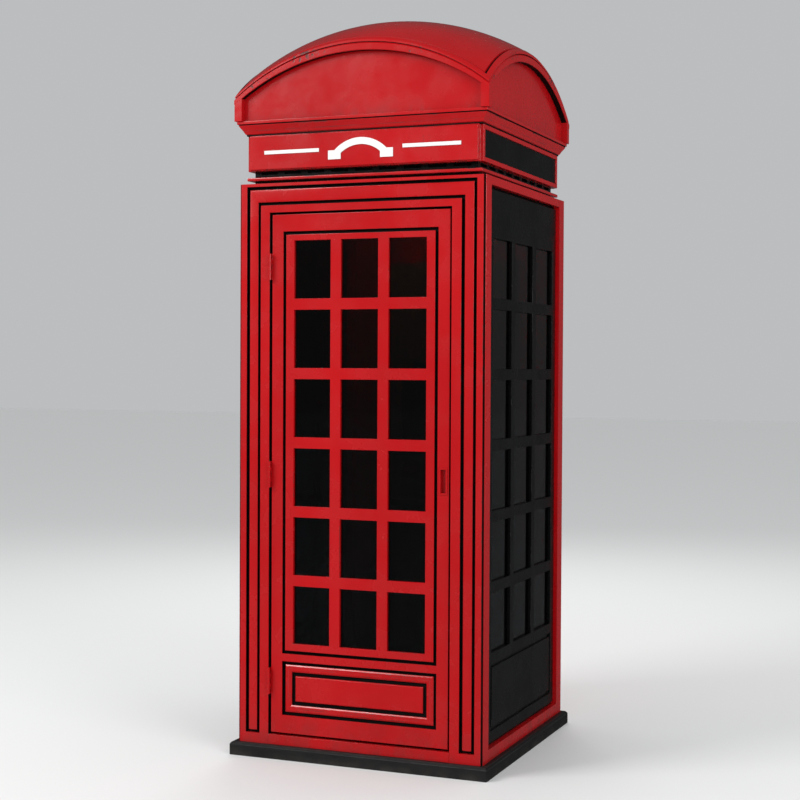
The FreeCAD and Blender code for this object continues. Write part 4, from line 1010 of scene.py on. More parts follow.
def softened(node: str, width: float, finish: Finish, body: str, steps: int = 2) -> bpy.types.Object:
    """A copy of a node with its triangles merged into faces and its edges rounded.

    The bevel marks its own faces with a second slot of the same finish, and the wear mask is read back
    from there, so the rounded edges wear and the faces don't.

    Args:
        node: the node to copy and stand for.
        width: the width of the rounding.
        finish: the finish.
        body: the body that it moves with.
        steps: facets round each edge.

    Returns:
        The piece.
    """
    name = node + "_finished"
    mesh = frame["nodes"][node].data.copy()
    mesh.name = name
    piece = placed(name, mesh)
    work = bmesh.new()
    work.from_mesh(mesh)
    bmesh.ops.remove_doubles(work, verts=work.verts, dist=MERGE)
    flat = math.radians(0.5)
    bmesh.ops.dissolve_limit(work, angle_limit=flat, verts=work.verts, edges=work.edges)
    work.to_mesh(mesh)
    work.free()
    mesh.materials.clear()
    mesh.materials.append(finish.material())
    mesh.materials.append(finish.material())
    mesh.polygons.foreach_set("material_index", np.zeros(len(mesh.polygons), np.int32))
    bevel = piece.modifiers.new("edges", "BEVEL")
    bevel.width, bevel.segments, bevel.limit_method = width, steps, "ANGLE"
    bevel.angle_limit, bevel.material, bevel.use_clamp_overlap = SHARP, 1, True
    seen = piece.evaluated_get(bpy.context.evaluated_depsgraph_get())
    made = bpy.data.meshes.new_from_object(seen)
    piece.modifiers.clear()
    piece.data = made
    _mark_edges(made)
    smooth(piece)
    return settle(piece, body, [node])


def _mark_edges(mesh: bpy.types.Mesh) -> None:
    """Sets the wear mask from the share of a point's faces that the bevel made.

    A share of two thirds or less gives 0, a share of one gives 1, and it rises evenly between them.

    Args:
        mesh: the bevelled mesh.
    """
    index, sizes = read(mesh.polygons, "material_index"), read(mesh.polygons, "loop_total")
    points = read(mesh.loops, "vertex_index")
    share = np.bincount(points, np.repeat(index > 0, sizes), len(mesh.vertices))
    total = np.bincount(points, minlength=len(mesh.vertices))
    made = np.clip(share / np.maximum(total, 1) * 3.0 - 2.0, 0.0, 1.0)
    wear = mesh.attributes.new("wear", "FLOAT", "POINT")
    wear.data.foreach_set("value", made.astype(np.float32))
    mesh.polygons.foreach_set("material_index", np.zeros(len(mesh.polygons), np.int32))


FIRST_PANE, PANE_STEP, PANE_HEIGHT = 0.441, 0.263, 0.220
PANE_FEET = tuple(FIRST_PANE + PANE_STEP * row for row in range(6))
PANE_ROWS = tuple((foot, foot + PANE_HEIGHT) for foot in PANE_FEET)


def rectangle(left: float, right: float, low: float, high: float) -> np.ndarray:
    """The four corners of a rectangle, going round."""
    return np.array([[left, low], [right, low], [right, high], [left, high]])


ROUND = np.array([[-1.0, -1.0], [1.0, -1.0], [1.0, 1.0], [-1.0, 1.0]])


def opening(
    shell: Shell,
    wall: Wall,
    face: float,
    cell: np.ndarray,
    hole: np.ndarray,
    cut: Section,
    back: float | None,
    push: np.ndarray = ROUND,
    ground: int = 0,
) -> None:
    """Fills the band between a cell and the hole in it, and lines the hole.

    The first row is the cell's own rim, each next one is the hole's point plus its push times the
    section's out, and the last is the cell's rim again at the back, or a flat floor.

    Args:
        shell: where the faces go.
        wall: the wall.
        face: the wall's face.
        cell: the cells' rims, shaped (..., points, 2).
        hole: the holes' rims, shaped the same.
        cut: the hole's section from front to back, with out pointing away from the hole.
        back: the depth of the back, or None where the hole has a floor.
        push: which way each point of a rim moves as the section goes out.
        ground: the paint of the band between cell and hole.
    """
    reach = push * cut.out[:, None, None]
    rows = hole[..., None, :, :] + reach
    deep = np.broadcast_to(cut.deep[:, None], rows.shape[:-1]).copy()
    rim = cell[..., None, :, :]
    start = np.full(rim.shape[:-1], cut.deep[0])
    rows, deep = np.concatenate([rim, rows], axis=-3), np.concatenate([start, deep], axis=-2)
    wear, grime_and_shade = np.append(0.0, cut.wear), np.append(0.0, cut.grime_and_shade)
    paint = np.append(ground, cut.paint)
    if back is not None:
        rows = np.concatenate([rows, rim], axis=-3)
        deep = np.concatenate([deep, np.full(rim.shape[:-1], back)], axis=-2)
        wear, grime_and_shade, paint = np.append(wear, 0.0), np.append(grime_and_shade, 0.0), np.append(paint, 0)
    grid = wall.place(rows[..., 0], rows[..., 1], face - deep)
    shell.patch(grid, False, True, wear[:, None], grime_and_shade[:, None], paint)
    if back is None:
        shell.cap(grid[..., -1, :, :])


def flat(shell: Shell, wall: Wall, face: float, corners: np.ndarray, depths: Sequence[float]) -> None:
    """Lays plain faces over rectangles at the given depths.

    Args:
        shell: where the faces go.
        wall: the wall.
        face: the wall's face.
        corners: the rectangles' corners.
        depths: how far behind the face each layer lies.
    """
    for depth in depths:
        shell.cap(wall.place(corners[..., 0], corners[..., 1], face - depth))


def _spread(left: np.ndarray, right: np.ndarray, low: np.ndarray, high: np.ndarray) -> np.ndarray:
    """The corners of every rectangle in a grid of columns and rows.

    Args:
        left: where each column starts.
        right: where each column ends.
        low: where each row starts.
        high: where each row ends.

    Returns:
        The corners, going round, shaped (rows, columns, 4, 2).
    """
    (first, bottom), (last, top) = np.meshgrid(left, low), np.meshgrid(right, high)
    corners = [(first, bottom), (last, bottom), (last, top), (first, top)]
    return np.stack([np.stack(c, axis=-1) for c in corners], axis=-2)


def cells(columns: Sequence[float], rows: Sequence[float]) -> np.ndarray:
    """The rectangles between column and row lines, as corners."""
    return _spread(columns[:-1], columns[1:], rows[:-1], rows[1:])


def panes(columns: Sequence[tuple[float, float]], rows: Sequence[tuple[float, float]]) -> np.ndarray:
    """The rectangles of a grid of openings, as corners."""
    return _spread(*np.transpose(columns), *np.transpose(rows))


def square(
    shell: Shell,
    cut: Section,
    corner: float = 0.0015,
    steps: int = 3,
    closed: bool = True,
    ends: bool = False,
) -> None:
    """Carries a section round the booth: its out is the half width and its deep the height.

    A corner is centred its radius inside the square, and swings through a quarter circle there.

    Args:
        shell: where the faces go.
        cut: the section.
        corner: the radius of the corners in plan.
        steps: facets round each corner.
        closed: whether the section is a closed loop.
        ends: whether the first and last rows are capped.
    """
    swing = np.linspace(0.0, math.pi / 2, steps + 1)
    angle = (np.arange(4)[:, None] * math.pi / 2 + swing).reshape(-1)
    sign = np.repeat(np.array([[1, 1], [-1, 1], [-1, -1], [1, -1]]), steps + 1, axis=0)
    reach = cut.out[:, None] - corner
    x, y = sign[:, 0] * reach + corner * np.cos(angle), sign[:, 1] * reach + corner * np.sin(angle)
    grid = np.stack([x, y, cut.deep[:, None] + 0 * angle], axis=-1)
    shell.patch(grid, closed, True, cut.wear[:, None], cut.grime_and_shade[:, None], cut.paint)
    if ends:
        shell.cap(grid[[0, -1]])


@dataclass
class FrontFrame:
    """The casting round the doorway: three flat strips, two channels with a reed between, and the sill."""

    half: float = 0.5
    doorway_half: float = 0.370
    doorway_top: float = 2.084
    foot: float = 0.050
    sill_top: float = 0.088
    reed_foot: float = 0.100
    stop_half: float = 0.346
    stop_top: float = 0.104
    thick: float = 0.066
    stop_depth: float = 0.050
    channel: float = 0.016
    edge: float = 0.0022
    gap: float = 5e-5

    def strips(self, channel: bool) -> Section:
        """The casting's closed section, with or without its channel.

        Args:
            channel: whether the strips have their channel.

        Returns:
            The closed section, from the stop outwards.
        """
        # paint 1 is painted shadow: the channel's walls and floor, the reveal and stop that line the door
        # gap, and the outer step
        trough = [
            Corner(0.038, 0.0, self.edge, 1, 0.028), Corner(0.038, self.channel, 0.0, 1, 0.028),
            Corner(0.097, self.channel, 0.0, 1, 0.100), Corner(0.097, 0.0, self.edge, 0, 0.100),
        ]
        return section([
            Corner(-0.024, self.thick), Corner(-0.024, self.stop_depth, 0.0015, 1),
            Corner(0.0, self.stop_depth, 0.0, 1), Corner(0.0, 0.0, self.edge),
            *(trough if channel else []),
            Corner(0.122, 0.0, self.edge, 1, 0.112), Corner(0.122, 0.008, 0.0, 1, 0.112),
            Corner(0.130, 0.008, self.edge, 0, 0.112), Corner(0.130, self.thick, 0.0, 0, 0.112),
        ], closed=True)

    def build(self) -> None:
        """Carries the strips round the doorway, stands them on the sill, and lays the reed."""
        shell = Shell()
        line = Outline.doorway(self.doorway_half, self.sill_top, self.doorway_top)
        shell.cap_ends(shell.carry(self.strips(True), line, Wall.FRONT, self.half, True))
        plain, top = self.strips(False), self.sill_top - self.gap
        for side in (-1.0, 1.0):
            ends = np.array([[side * self.doorway_half, self.foot], [side * self.doorway_half, top]])
            leg = Outline(ends, np.array([[side, 0.0]] * 2), closed=False)
            shell.cap_ends(shell.carry(plain, leg, Wall.FRONT, self.half, True))
        low = (-self.doorway_half + self.gap, -self.half, self.foot)
        shell.block(low, (self.doorway_half - self.gap, -self.half + self.stop_depth, top), 0.0008)
        # the stop behind the door, in painted shadow
        low = (-self.stop_half, -self.half + self.stop_depth + self.gap, self.foot)
        shell.block(low, (self.stop_half, -self.half + self.thick, self.stop_top), 0.001, paint=1)
        nodes = ["front_left_jamb", "front_right_jamb", "front_head", "door_sill"]
        stand(shell, "front_frame", [RED, PAINTED_SHADOW], "kiosk", nodes)
        self.reed()

    def reed(self) -> None:
        """The crowned moulding that stands between the channels."""
        shell = Shell()
        line = Outline.doorway(self.doorway_half, self.reed_foot, self.doorway_top)
        # the reed's sides are painted shadow down into the channels
        cut = section([
            Corner(0.050, self.channel, 0.0, 1, 0.040), Corner(0.050, 0.0035, 0.0015, 0, 0.040),
            Corner(0.0565, 0.0009, 0.0, 0, 0.049), Corner(0.0675, 0.0, 0.0, 0, 0.064),
            Corner(0.0785, 0.0009, 0.0, 0, 0.079), Corner(0.085, 0.0035, 0.002, 1, 0.088),
            Corner(0.085, self.channel, 0.0, 1, 0.088),
        ], closed=True, steps=4)
        shell.cap_ends(shell.carry(cut, line, Wall.FRONT, self.half, True))
        stand(shell, "reed_moulding", [RED, PAINTED_SHADOW], "kiosk", ["front_reed_moulding"])


@dataclass
class WindowGrid:
    """A cast grid of panes: a border and bars standing on a web, in a channel."""

    wall: Wall
    face: float
    columns: tuple[tuple[float, float], ...]
    rows: tuple[tuple[float, float], ...]
    half: float
    low: float
    high: float
    margin: float = 0.012
    stand_out: float = 0.012
    web: float = 0.018
    lap: float = 0.007
    edge: float = 0.0024
    round: float = 0.003
    retainer_thick: float = 0.010
    retainer_rows: tuple[float, float] = (0.413, 1.999)
    groove_half: float = 0.379
    groove_rows: tuple[float, float] = (0.150, 0.400)
    groove_width: float = 0.014
    groove_depth: float = 0.008
    groove_over: float = 0.0205

    def build(
        self, name: str, slot: str, finish: Finish, body: str, node: str, kick: bool = False
    ) -> None:
        """Lines every pane's opening, closes the rim, and sinks a panelled groove below where there is one.

        Args:
            name: the piece's name.
            slot: the record's material slot; not used.
            finish: the finish.
            body: the body that it moves with.
            node: the node that it stands for.
            kick: whether there is a grooved panel below the panes.
        """
        shell = Shell()
        sides = (-self.half + self.round, *self._middles(self.columns), self.half - self.round)
        lows = (self.low + self.round, *self._middles(self.rows), self.high - self.round)
        if kick:
            lows = (self.rows[0][0] - self.groove_over, *lows[1:])
            base = Outline.lattice(sides, (self.low + self.round, lows[0]))
            self._groove(shell, base)
            flat(shell, self.wall, self.face, base.points[None], [self.web])
        cut = section([
            Corner(2 * self.round, 0.0), Corner(0.0, 0.0, self.edge), Corner(0.0, self.stand_out, -0.001),
            Corner(self.lap, self.stand_out), Corner(self.lap, self.web),
        ])
        grid = cells(sides, lows)
        opening(shell, self.wall, self.face, grid, panes(self.columns, self.rows), cut, self.web)
        foot = self.round + self.margin
        # the rim's sides are painted shadow, so the joint round the grid reads as a dark line
        rim = section([
            Corner(0.0, 0.0), Corner(self.round, 0.0, self.edge), Corner(self.round, 0.003, 0.0, 1),
            Corner(self.round, self.stand_out, 0.0, 1), Corner(foot, self.stand_out, 0.0, 1),
            Corner(foot, self.web), Corner(0.0, self.web),
        ])
        rows = (self.low + self.round, *lows) if kick else lows
        shell.carry(rim, Outline.lattice(sides, rows), self.wall, self.face)
        stand(shell, name, [finish, PAINTED_SHADOW], body, [node])

    def _middles(self, spans: Sequence[tuple[float, float]]) -> list[float]:
        """The middle lines of the bars between openings."""
        return [(a[1] + b[0]) / 2 for a, b in zip(spans, spans[1:])]

    def _groove(self, shell: Shell, base: Outline) -> None:
        """A panel marked out by a groove.

        Args:
            shell: where the faces go.
            base: the rim of the panel's cell.
        """
        wide, deep = self.groove_width, self.groove_depth
        cut = section([
            Corner(0.006, 0.0), Corner(0.0, 0.0, self.edge), Corner(0.0, deep, -0.001),
            Corner(-wide, deep, -0.001), Corner(-wide, 0.0, self.edge), Corner(-wide - 0.006, 0.0),
        ])
        sides = (-self.groove_half, *self._middles(self.columns), self.groove_half)
        hole = Outline.lattice(sides, self.groove_rows)
        opening(shell, self.wall, self.face, base.points[None], hole.points[None], cut, None, hole.push)

    def retainer(self, name: str, finish: Finish, body: str, node: str, half: float) -> None:
        """The thinner grid that holds the glass in from behind.

        Args:
            name: the piece's name.
            finish: the finish.
            body: the body that it moves with.
            node: the node that it stands for.
            half: half the grid's width.
        """
        shell, front, back = Shell(), self.web, self.web + self.retainer_thick
        sides = (-half, *self._middles(self.columns), half)
        lows = (self.retainer_rows[0], *self._middles(self.rows), self.retainer_rows[1])
        cut = section([
            Corner(0.004, front), Corner(0.0, front), Corner(0.0, back, self.edge), Corner(0.006, back),
        ])
        opening(shell, self.wall, self.face, cells(sides, lows), panes(self.columns, self.rows), cut, back)
        rim = section([Corner(0.0, front), Corner(0.0, back)])
        shell.carry(rim, Outline.lattice(sides, lows), self.wall, self.face)
        stand(shell, name, [finish], body, [node])


@dataclass
class Door:
    """The door: stiles and rails round a window and a kick panel, with a pull sunk in one stile."""

    half: float = 0.362
    low: float = 0.096
    high: float = 2.076
    face: float = 0.492
    thick: float = 0.040
    opening_half: float = 0.3155
    edge: float = 0.0022
    round: float = 0.003
    window: tuple[float, float] = (0.401, 2.011)
    kick: tuple[float, float] = (0.165, 0.371)
    kick_ground: float = 0.012
    kick_depth: float = 0.024
    field_half: float = 0.2615
    field_rows: tuple[float, float] = (0.219, 0.317)
    moulding_half: float = 0.3035
    moulding_rows: tuple[float, float] = (0.177, 0.359)
    pull: tuple[float, float] = (0.33875, 1.080)
    pull_half: tuple[float, float] = (0.012, 0.045)
    pull_depth: float = 0.018
    pull_rows: tuple[float, float] = (1.000, 1.160)
    pull_split: float = 0.3225
    bars: tuple[tuple[float, float], ...] = ((-0.2695, -0.1185), (-0.0755, 0.0755), (0.1185, 0.2695))
    grid_half: float = 0.3035
    grid_rows: tuple[float, float] = (0.413, 1.999)
    bead_half: float = 0.3075

    def build(self) -> None:
        """Builds the leaf and everything that swings with it."""
        self.leaf()
        grid = WindowGrid(Wall.FRONT, self.face, self.bars, PANE_ROWS, self.grid_half, *self.grid_rows)
        grid.build("door_window_grid", "red_paint", RED, "door", "door_window_casting")
        grid.retainer("door_glazing_bead", RED, "door", "door_window_retainer", self.bead_half)
        self.kick_panel()
        softened("door_cup_pull", 0.0006, RED, "door")
        softened("door_inner_handle", 0.0025, BRASS, "door", 3)
        softened("hinge_door_leaves", 0.0008, RED, "door")
        softened("door_retainer_screws", 0.0006, BRASS, "door")

    def leaf(self) -> None:
        """Stiles and rails as one face, cut by the window, the kick panel and the pull's pocket."""
        shell, e = Shell(), self.round
        x, middle = self.half - e, (self.window[0] + self.kick[1]) / 2
        split, pocket = self.pull_split, self.pull_rows
        # the openings' reveals are painted shadow below their rounded edge
        through = section([
            Corner(0.006, 0.0), Corner(0.0, 0.0, self.edge), Corner(0.0, 0.003, 0.0, 1),
            Corner(0.0, 0.024), Corner(0.0, self.thick, self.edge), Corner(0.004, self.thick),
        ])
        heights = (self.low + e, middle, *pocket, self.high - e)
        for hole, area, between in ((self.window, heights[1:], pocket), (self.kick, heights[:2], ())):
            cell = Outline.lattice((-x, split), area)
            gap = Outline.lattice((-self.opening_half, self.opening_half), (hole[0], *between, hole[1]))
            rims = cell.points[None], gap.points[None]
            opening(shell, Wall.FRONT, self.face, *rims, through, self.thick, gap.push)
        for low, high in (heights[:2], heights[1:3], heights[3:]):
            flat(shell, Wall.FRONT, self.face, rectangle(split, x, low, high)[None], [0.0, self.thick])
        sink = section([Corner(0.0015, 0.0), Corner(0.0, 0.0), Corner(0.0, self.pull_depth)])
        (px, pz), (wide, tall) = self.pull, self.pull_half
        gap = rectangle(px - wide, px + wide, pz - tall, pz + tall)[None]
        cell = rectangle(split, x, *pocket)[None]
        opening(shell, Wall.FRONT, self.face, cell, gap, sink, None)
        flat(shell, Wall.FRONT, self.face, cell, [self.thick])
        # the leaf's edges are painted shadow, so the gap round the door reads as a dark line
        rim = section([
            Corner(0.0, 0.0), Corner(e, 0.0, self.edge), Corner(e, 0.004, 0.0, 1), Corner(e, 0.034),
            Corner(e, self.thick, self.edge), Corner(0.0, self.thick),
        ])
        shell.carry(rim, Outline.lattice((-x, split, x), heights), Wall.FRONT, self.face)
        stand(shell, "door_leaf", [RED, PAINTED_SHADOW], "door", ["door_stiles", "door_rails"])

    def kick_panel(self) -> None:
        """A raised field inside a moulded border, over a painted-shadow ground; their sides are painted
        shadow too.
        """
        shell, ground = Shell(), self.kick_ground
        cut = section([
            Corner(0.0, ground, 0.0, 1), Corner(0.0, 0.0068, 0.001, 0), Corner(-0.003, 0.004, 0.001),
            Corner(-0.012, 0.004),
        ])
        cell = rectangle(-self.opening_half, self.opening_half, *self.kick)[None]
        field = rectangle(-self.field_half, self.field_half, *self.field_rows)[None]
        opening(shell, Wall.FRONT, self.face, cell, field, cut, None, ground=1)
        rim = section([Corner(0.0, ground), Corner(0.0, self.kick_depth)])
        edge = Outline.lattice((-self.opening_half, self.opening_half), self.kick)
        grid = shell.carry(rim, edge, Wall.FRONT, self.face)
        shell.cap(grid[-1])
        stand(shell, "kick_panel_field", [RED, PAINTED_SHADOW], "door", ["kick_panel"])
        shell = Shell()
        cut = section([
            Corner(0.0, ground, 0.0, 1), Corner(0.0, 0.006, 0.001, 0), Corner(-0.006, 0.002, 0.003),
            Corner(-0.014, 0.0026, -0.004), Corner(-0.022, 0.002, 0.003), Corner(-0.028, 0.006, 0.001, 1),
            Corner(-0.028, ground, 0.0, 1),
        ], closed=True)
        line = Outline.lattice((-self.moulding_half, self.moulding_half), self.moulding_rows)
        shell.carry(cut, line, Wall.FRONT, self.face, True)
        stand(shell, "kick_panel_moulding", [RED, PAINTED_SHADOW], "door", ["kick_moulding"])


@dataclass
class Sides:
    """The two glazed side walls and the panelled back."""

    half: float = 0.5
    inner: float = 0.434
    face: float = 0.488
    low: float = 0.050
    high: float = 2.196
    openings: tuple[tuple[float, float], ...] = (
        (-0.374, -0.153333), (-0.110333, 0.110333), (0.153333, 0.374),
    )
    grid_half: float = 0.422
    grid_rows: tuple[float, float] = (0.107, 2.153)
    bead_half: float = 0.426
    rail_rows: tuple[tuple[float, float], ...] = ((0.050, 0.095), (2.165, 2.196))
    border: float = 0.066
    raised_half: float = 0.340
    raised_rows: tuple[tuple[float, float], ...] = ((0.190, 0.780), (0.860, 1.450), (1.530, 2.056))

    def build(self) -> None:
        """Builds both sides and the back."""
        for wall, side in ((Wall.LEFT, "left"), (Wall.RIGHT, "right")):
            grid = WindowGrid(wall, self.face, self.openings, PANE_ROWS, self.grid_half, *self.grid_rows)
            casting, bead = f"{side}_window_casting", f"{side}_window_retainer"
            # the side grids and beads are finished black as painted shade over the side walls
            grid.build(f"{side}_window_grid", "black_paint", PAINTED_SHADE_ENAMEL, "kiosk", casting, True)
            grid.retainer(f"{side}_glazing_bead", PAINTED_SHADE_ENAMEL, "kiosk", bead, self.bead_half)
            self.rails(wall, side)
        softened("side_retainer_screws", 0.0006, BRASS, "kiosk")
        self.back()

    def rails(self, wall: Wall, side: str) -> None:
        """The rails over and under the window.

        Args:
            wall: the wall.
            side: the wall's name.
        """
        shell = Shell()
        across, out = np.array([-self.inner, self.inner]), np.array([self.inner, self.half])
        for rows in self.rail_rows:
            ends = wall.place(across, np.array(rows), out)
            shell.block(ends.min(axis=0), ends.max(axis=0), 0.0012)
        stand(shell, f"{side}_rails", [RED], "kiosk", [f"{side}_side_rails"])

    def back(self) -> None:
        """One casting with a sunk panel outside and the cabin's wall inside."""
        shell, e, thick = Shell(), 0.003, self.half - self.inner
        columns, rows = (-self.half + e, self.half - e), (self.low + e, self.high - e)
        cell = rectangle(*columns, *rows)[None]
        hole = rectangle(-self.inner, self.inner, self.low + self.border, self.high - self.border)[None]
        outside = section([
            Corner(0.006, 0.0), Corner(0.0, 0.0, 0.002), Corner(0.0, 0.007, -0.001),
            Corner(-0.006, 0.009, 0.002), Corner(-0.009, 0.014, -0.002), Corner(-0.03, 0.014),
        ])
        opening(shell, Wall.BACK, self.half, cell, hole, outside, None)
        rim = section([Corner(0.0, 0.0), Corner(e, 0.0, 0.0022), Corner(e, thick), Corner(0.0, thick)])
        shell.carry(rim, Outline.lattice(columns, rows), Wall.BACK, self.half)
        bead = section([
            Corner(0.0, 0.015), Corner(0.002, 0.0095, 0.002), Corner(0.009, 0.0095, 0.002),
            Corner(0.012, 0.0115, -0.002), Corner(0.022, 0.0115, 0.002), Corner(0.023, 0.015),
        ], closed=True)
        for raised in self.raised_rows:
            line = Outline.lattice((-self.raised_half, self.raised_half), raised)
            shell.carry(bead, line, Wall.BACK, self.half, True)
        inside = section([
            Corner(0.004, thick), Corner(0.0, thick, 0.0015), Corner(0.0, 0.028, -0.002),
            Corner(-0.02, 0.028),
        ])
        opening(shell, Wall.BACK, self.half, cell, hole, inside, None)
        stand(shell, "back_casting", [RED], "kiosk", ["back_panel"])


@dataclass
class Base:
    """The plinth under the booth and the plate that one stands on."""

    half: float = 0.525
    top: float = 0.050
    chamfer: float = 0.008
    pitch: float = 0.028
    lozenge: tuple[float, float] = (0.011, 0.0035)
    raised: float = 0.0012

    def build(self) -> None:
        """Carries the plinth's section round, and lays the floor."""
        shell = Shell()
        cut = section([
            Corner(self.half - 0.004, 0.0), Corner(self.half, 0.0, 0.001),
            Corner(self.half, self.top - self.chamfer, 0.003),
            Corner(self.half - self.chamfer, self.top, 0.003), Corner(self.half - 0.02, self.top),
        ])
        square(shell, cut, 0.004, closed=False, ends=True)
        stand(shell, "plinth", [PLINTH], "kiosk", ["base_plinth"])
        shell = Shell()
        low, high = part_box("floor_plate")
        face = high[2] - self.raised
        shell.block(low, (high[0], high[1], face), 0.001)
        self.tread(shell, face)
        stand(shell, "tread_plate", [FLOOR_IRON], "kiosk", ["floor_plate"])

    def tread(self, shell: Shell, top: float, count: int = 30) -> None:
        """Raised lozenges, turned a quarter turn from one to the next.

        Each is a low pyramid on a diamond, cut off level: its crown is the diamond shrunk to 0.6 about
        its middle.

        Args:
            shell: where the faces go.
            top: the height of the plate's face.
            count: how many lozenges there are along each side.
        """
        steps = (np.arange(count) - (count - 1) / 2) * self.pitch
        x, y = (a.reshape(-1) for a in np.meshgrid(steps, steps))
        i, j = np.meshgrid(np.arange(count), np.arange(count))
        turned = ((i + j) % 2).reshape(-1)[:, None] * math.pi / 2 + math.pi / 4
        angle = turned + np.arange(4) * math.pi / 2
        long = np.array(self.lozenge * 2)
        foot = np.stack([x[:, None] + long * np.cos(angle), y[:, None] + long * np.sin(angle)], axis=-1)
        middle = np.stack([x, y], axis=-1)[:, None]
        crown = middle + (foot - middle) * 0.6
        rows = np.stack([foot, crown], axis=1)
        heights = np.array([top - 1e-4, top + self.raised])[None, :, None, None]
        grid = np.concatenate([rows, np.broadcast_to(heights, (*rows.shape[:-1], 1))], axis=-1)
        shell.patch(grid, False, True, np.array([[0.0], [1.0]]))
        shell.cap(grid[:, 0])
        shell.cap(grid[:, 1])


@dataclass
class Top:
    """Everything over the door's head: vented neck, signs, cornice, and the roof with its hoods."""

    sphere: float = 0.96217
    sphere_centre: float = 1.89889
    arch: float = 0.85210
    arch_centre: float = 1.81990
    wall_half: float = 0.490
    hood_half: float = 0.516
    hood_band: float = 0.5135
    springing: float = 2.436
    neck_outer: float = 0.455
    neck_inner: float = 0.443
    neck_rows: tuple[float, float] = (2.196, 2.247)
    slot_half: float = 0.035
    slot_rows: tuple[float, float] = (2.234, 2.244)
    gauze_half: tuple[float, float] = (0.4405, 0.4422)
    gauze_rows: tuple[float, float] = (2.200, 2.2468)
    string_half: tuple[float, float] = (0.4545, 0.478)
    string_rows: tuple[float, float] = (2.210, 2.222)
    post_inner: float = 0.484

    def build(self) -> None:
        """Builds from the neck upwards."""
        self.neck()
        self.gauze()
        self.string()
        softened("fascia_frame", 0.0022, RED, "kiosk", 3)
        softened("front_sign_panel", 0.0018, RED, "kiosk")
        softened("side_sign_panels", 0.0015, SIGN_BLACK, "kiosk")
        softened("front_sign_symbol", 0.0008, SIGN_WHITE, "kiosk")
        self.cornice()
        self.roof()
        self.hoods()

    def neck(self, slots: int = 9) -> None:
        """The recessed neck, finished black as painted shade, with a row of ventilation slots through each of
        its walls.

        Args:
            slots: how many slots there are in a wall.
        """
        shell = Shell()
        outer, inner, (low, high) = self.neck_outer, self.neck_inner, self.neck_rows
        lines = np.linspace(-inner, inner, slots + 1)
        middles = (lines[:-1] + lines[1:]) / 2
        sides = np.stack([middles - self.slot_half, middles + self.slot_half], axis=1)
        holes = panes(sides, [self.slot_rows])
        cut = section([Corner(0.0012, 0.0), Corner(0.0, 0.0, 0.0008), Corner(0.0, outer - inner)])
        corner = rectangle(inner, outer, inner, outer) * ROUND[:, None]
        for wall in Wall:
            opening(shell, wall, outer, cells(lines, (low, high)), holes, cut, outer - inner)
            for left, right in ((-outer, -inner), (inner, outer)):
                flat(shell, wall, outer, rectangle(left, right, low, high)[None], [0.0])
            for height in (low, high):
                shell.patch(wall.place(lines[None], height, np.array([[outer], [inner]])))
        for height in (low, high):
            shell.cap(np.concatenate([corner, np.full((4, 4, 1), height)], axis=-1))
        stand(shell, "vented_neck", [PAINTED_SHADE_ENAMEL], "kiosk", ["vent_neck"])

    def gauze(self) -> None:
        """The gauze behind the vents, a hair inside the neck, in painted shadow so that the slots read dark.
        """
        shell, (inner, outer), (low, high) = Shell(), self.gauze_half, self.gauze_rows
        cut = section([
            Corner(inner, low), Corner(outer, low), Corner(outer, high), Corner(inner, high),
        ], closed=True)
        square(shell, cut)
        stand(shell, "vent_gauze", [PAINTED_SHADOW], "kiosk")

    def string(self) -> None:
        """The thin red course round the neck."""
        shell, (inner, outer), (low, high) = Shell(), self.string_half, self.string_rows
        cut = section([
            Corner(inner, low), Corner(outer, low, 0.002), Corner(outer, high, 0.004), Corner(inner, high),
        ], closed=True)
        square(shell, cut)
        stand(shell, "string_course", [RED], "kiosk", ["string_moulding"])

    def cornice(self) -> None:
        """A flared course under the pediments, with a square lip and painted shadow lines at its foot and
        under its lip.
        """
        shell = Shell()
        cut = section([
            Corner(0.452, 2.382, 0.0, 1), Corner(0.480, 2.382, 0.0, 1), Corner(0.480, 2.387, 0.0, 0),
            Corner(0.484, 2.389, 0.0015), Corner(0.490, 2.400, -0.004), Corner(0.503, 2.4185, 0.002, 1),
            Corner(0.503, 2.424, 0.0, 1), Corner(0.508, 2.4245, 0.001, 0),
            Corner(0.508, self.springing, 0.002), Corner(0.452, self.springing),
        ], closed=True)
        square(shell, cut)
        stand(shell, "flared_cornice", [RED, PAINTED_SHADOW], "kiosk", ["cornice"])

    def height(self, x: np.ndarray, y: np.ndarray) -> np.ndarray:
        """The dome: the centre's height plus the root of R squared less x and y squared."""
        return self.sphere_centre + np.sqrt(self.sphere**2 - x**2 - y**2)

    def roof(self, steps: int = 64) -> None:
        """The dome over a square, and its four arched walls, each a grid from the springing to the dome.

        Args:
            steps: how many facets there are across a side.
        """
        shell = Shell()
        line = np.linspace(-self.wall_half, self.wall_half, steps + 1)
        x, y = np.meshgrid(line, line, indexing="ij")
        shell.patch(np.stack([x, y, self.height(x, y)], axis=-1))
        crown = self.height(line, np.full_like(line, self.wall_half))
        t = np.linspace(0.0, 1.0, 9)[:, None]
        up = self.springing + (crown - self.springing) * t
        # darker towards the foot of each arched wall, where it meets the cornice, through the dirt-and-shade
        # mask
        grime_and_shade = np.broadcast_to(0.45 * (1 - t) ** 8, up.shape)
        for wall in Wall:
            shell.patch(wall.place(line[None], up, np.full_like(up, self.wall_half)), grime_and_shade=grime_and_shade)
        rims = [wall.place(line[:-1], self.springing, self.wall_half) for wall in Wall]
        shell.cap(np.concatenate(rims))
        stand(shell, "vaulted_roof", [RED], "kiosk", ["roof_dome"])

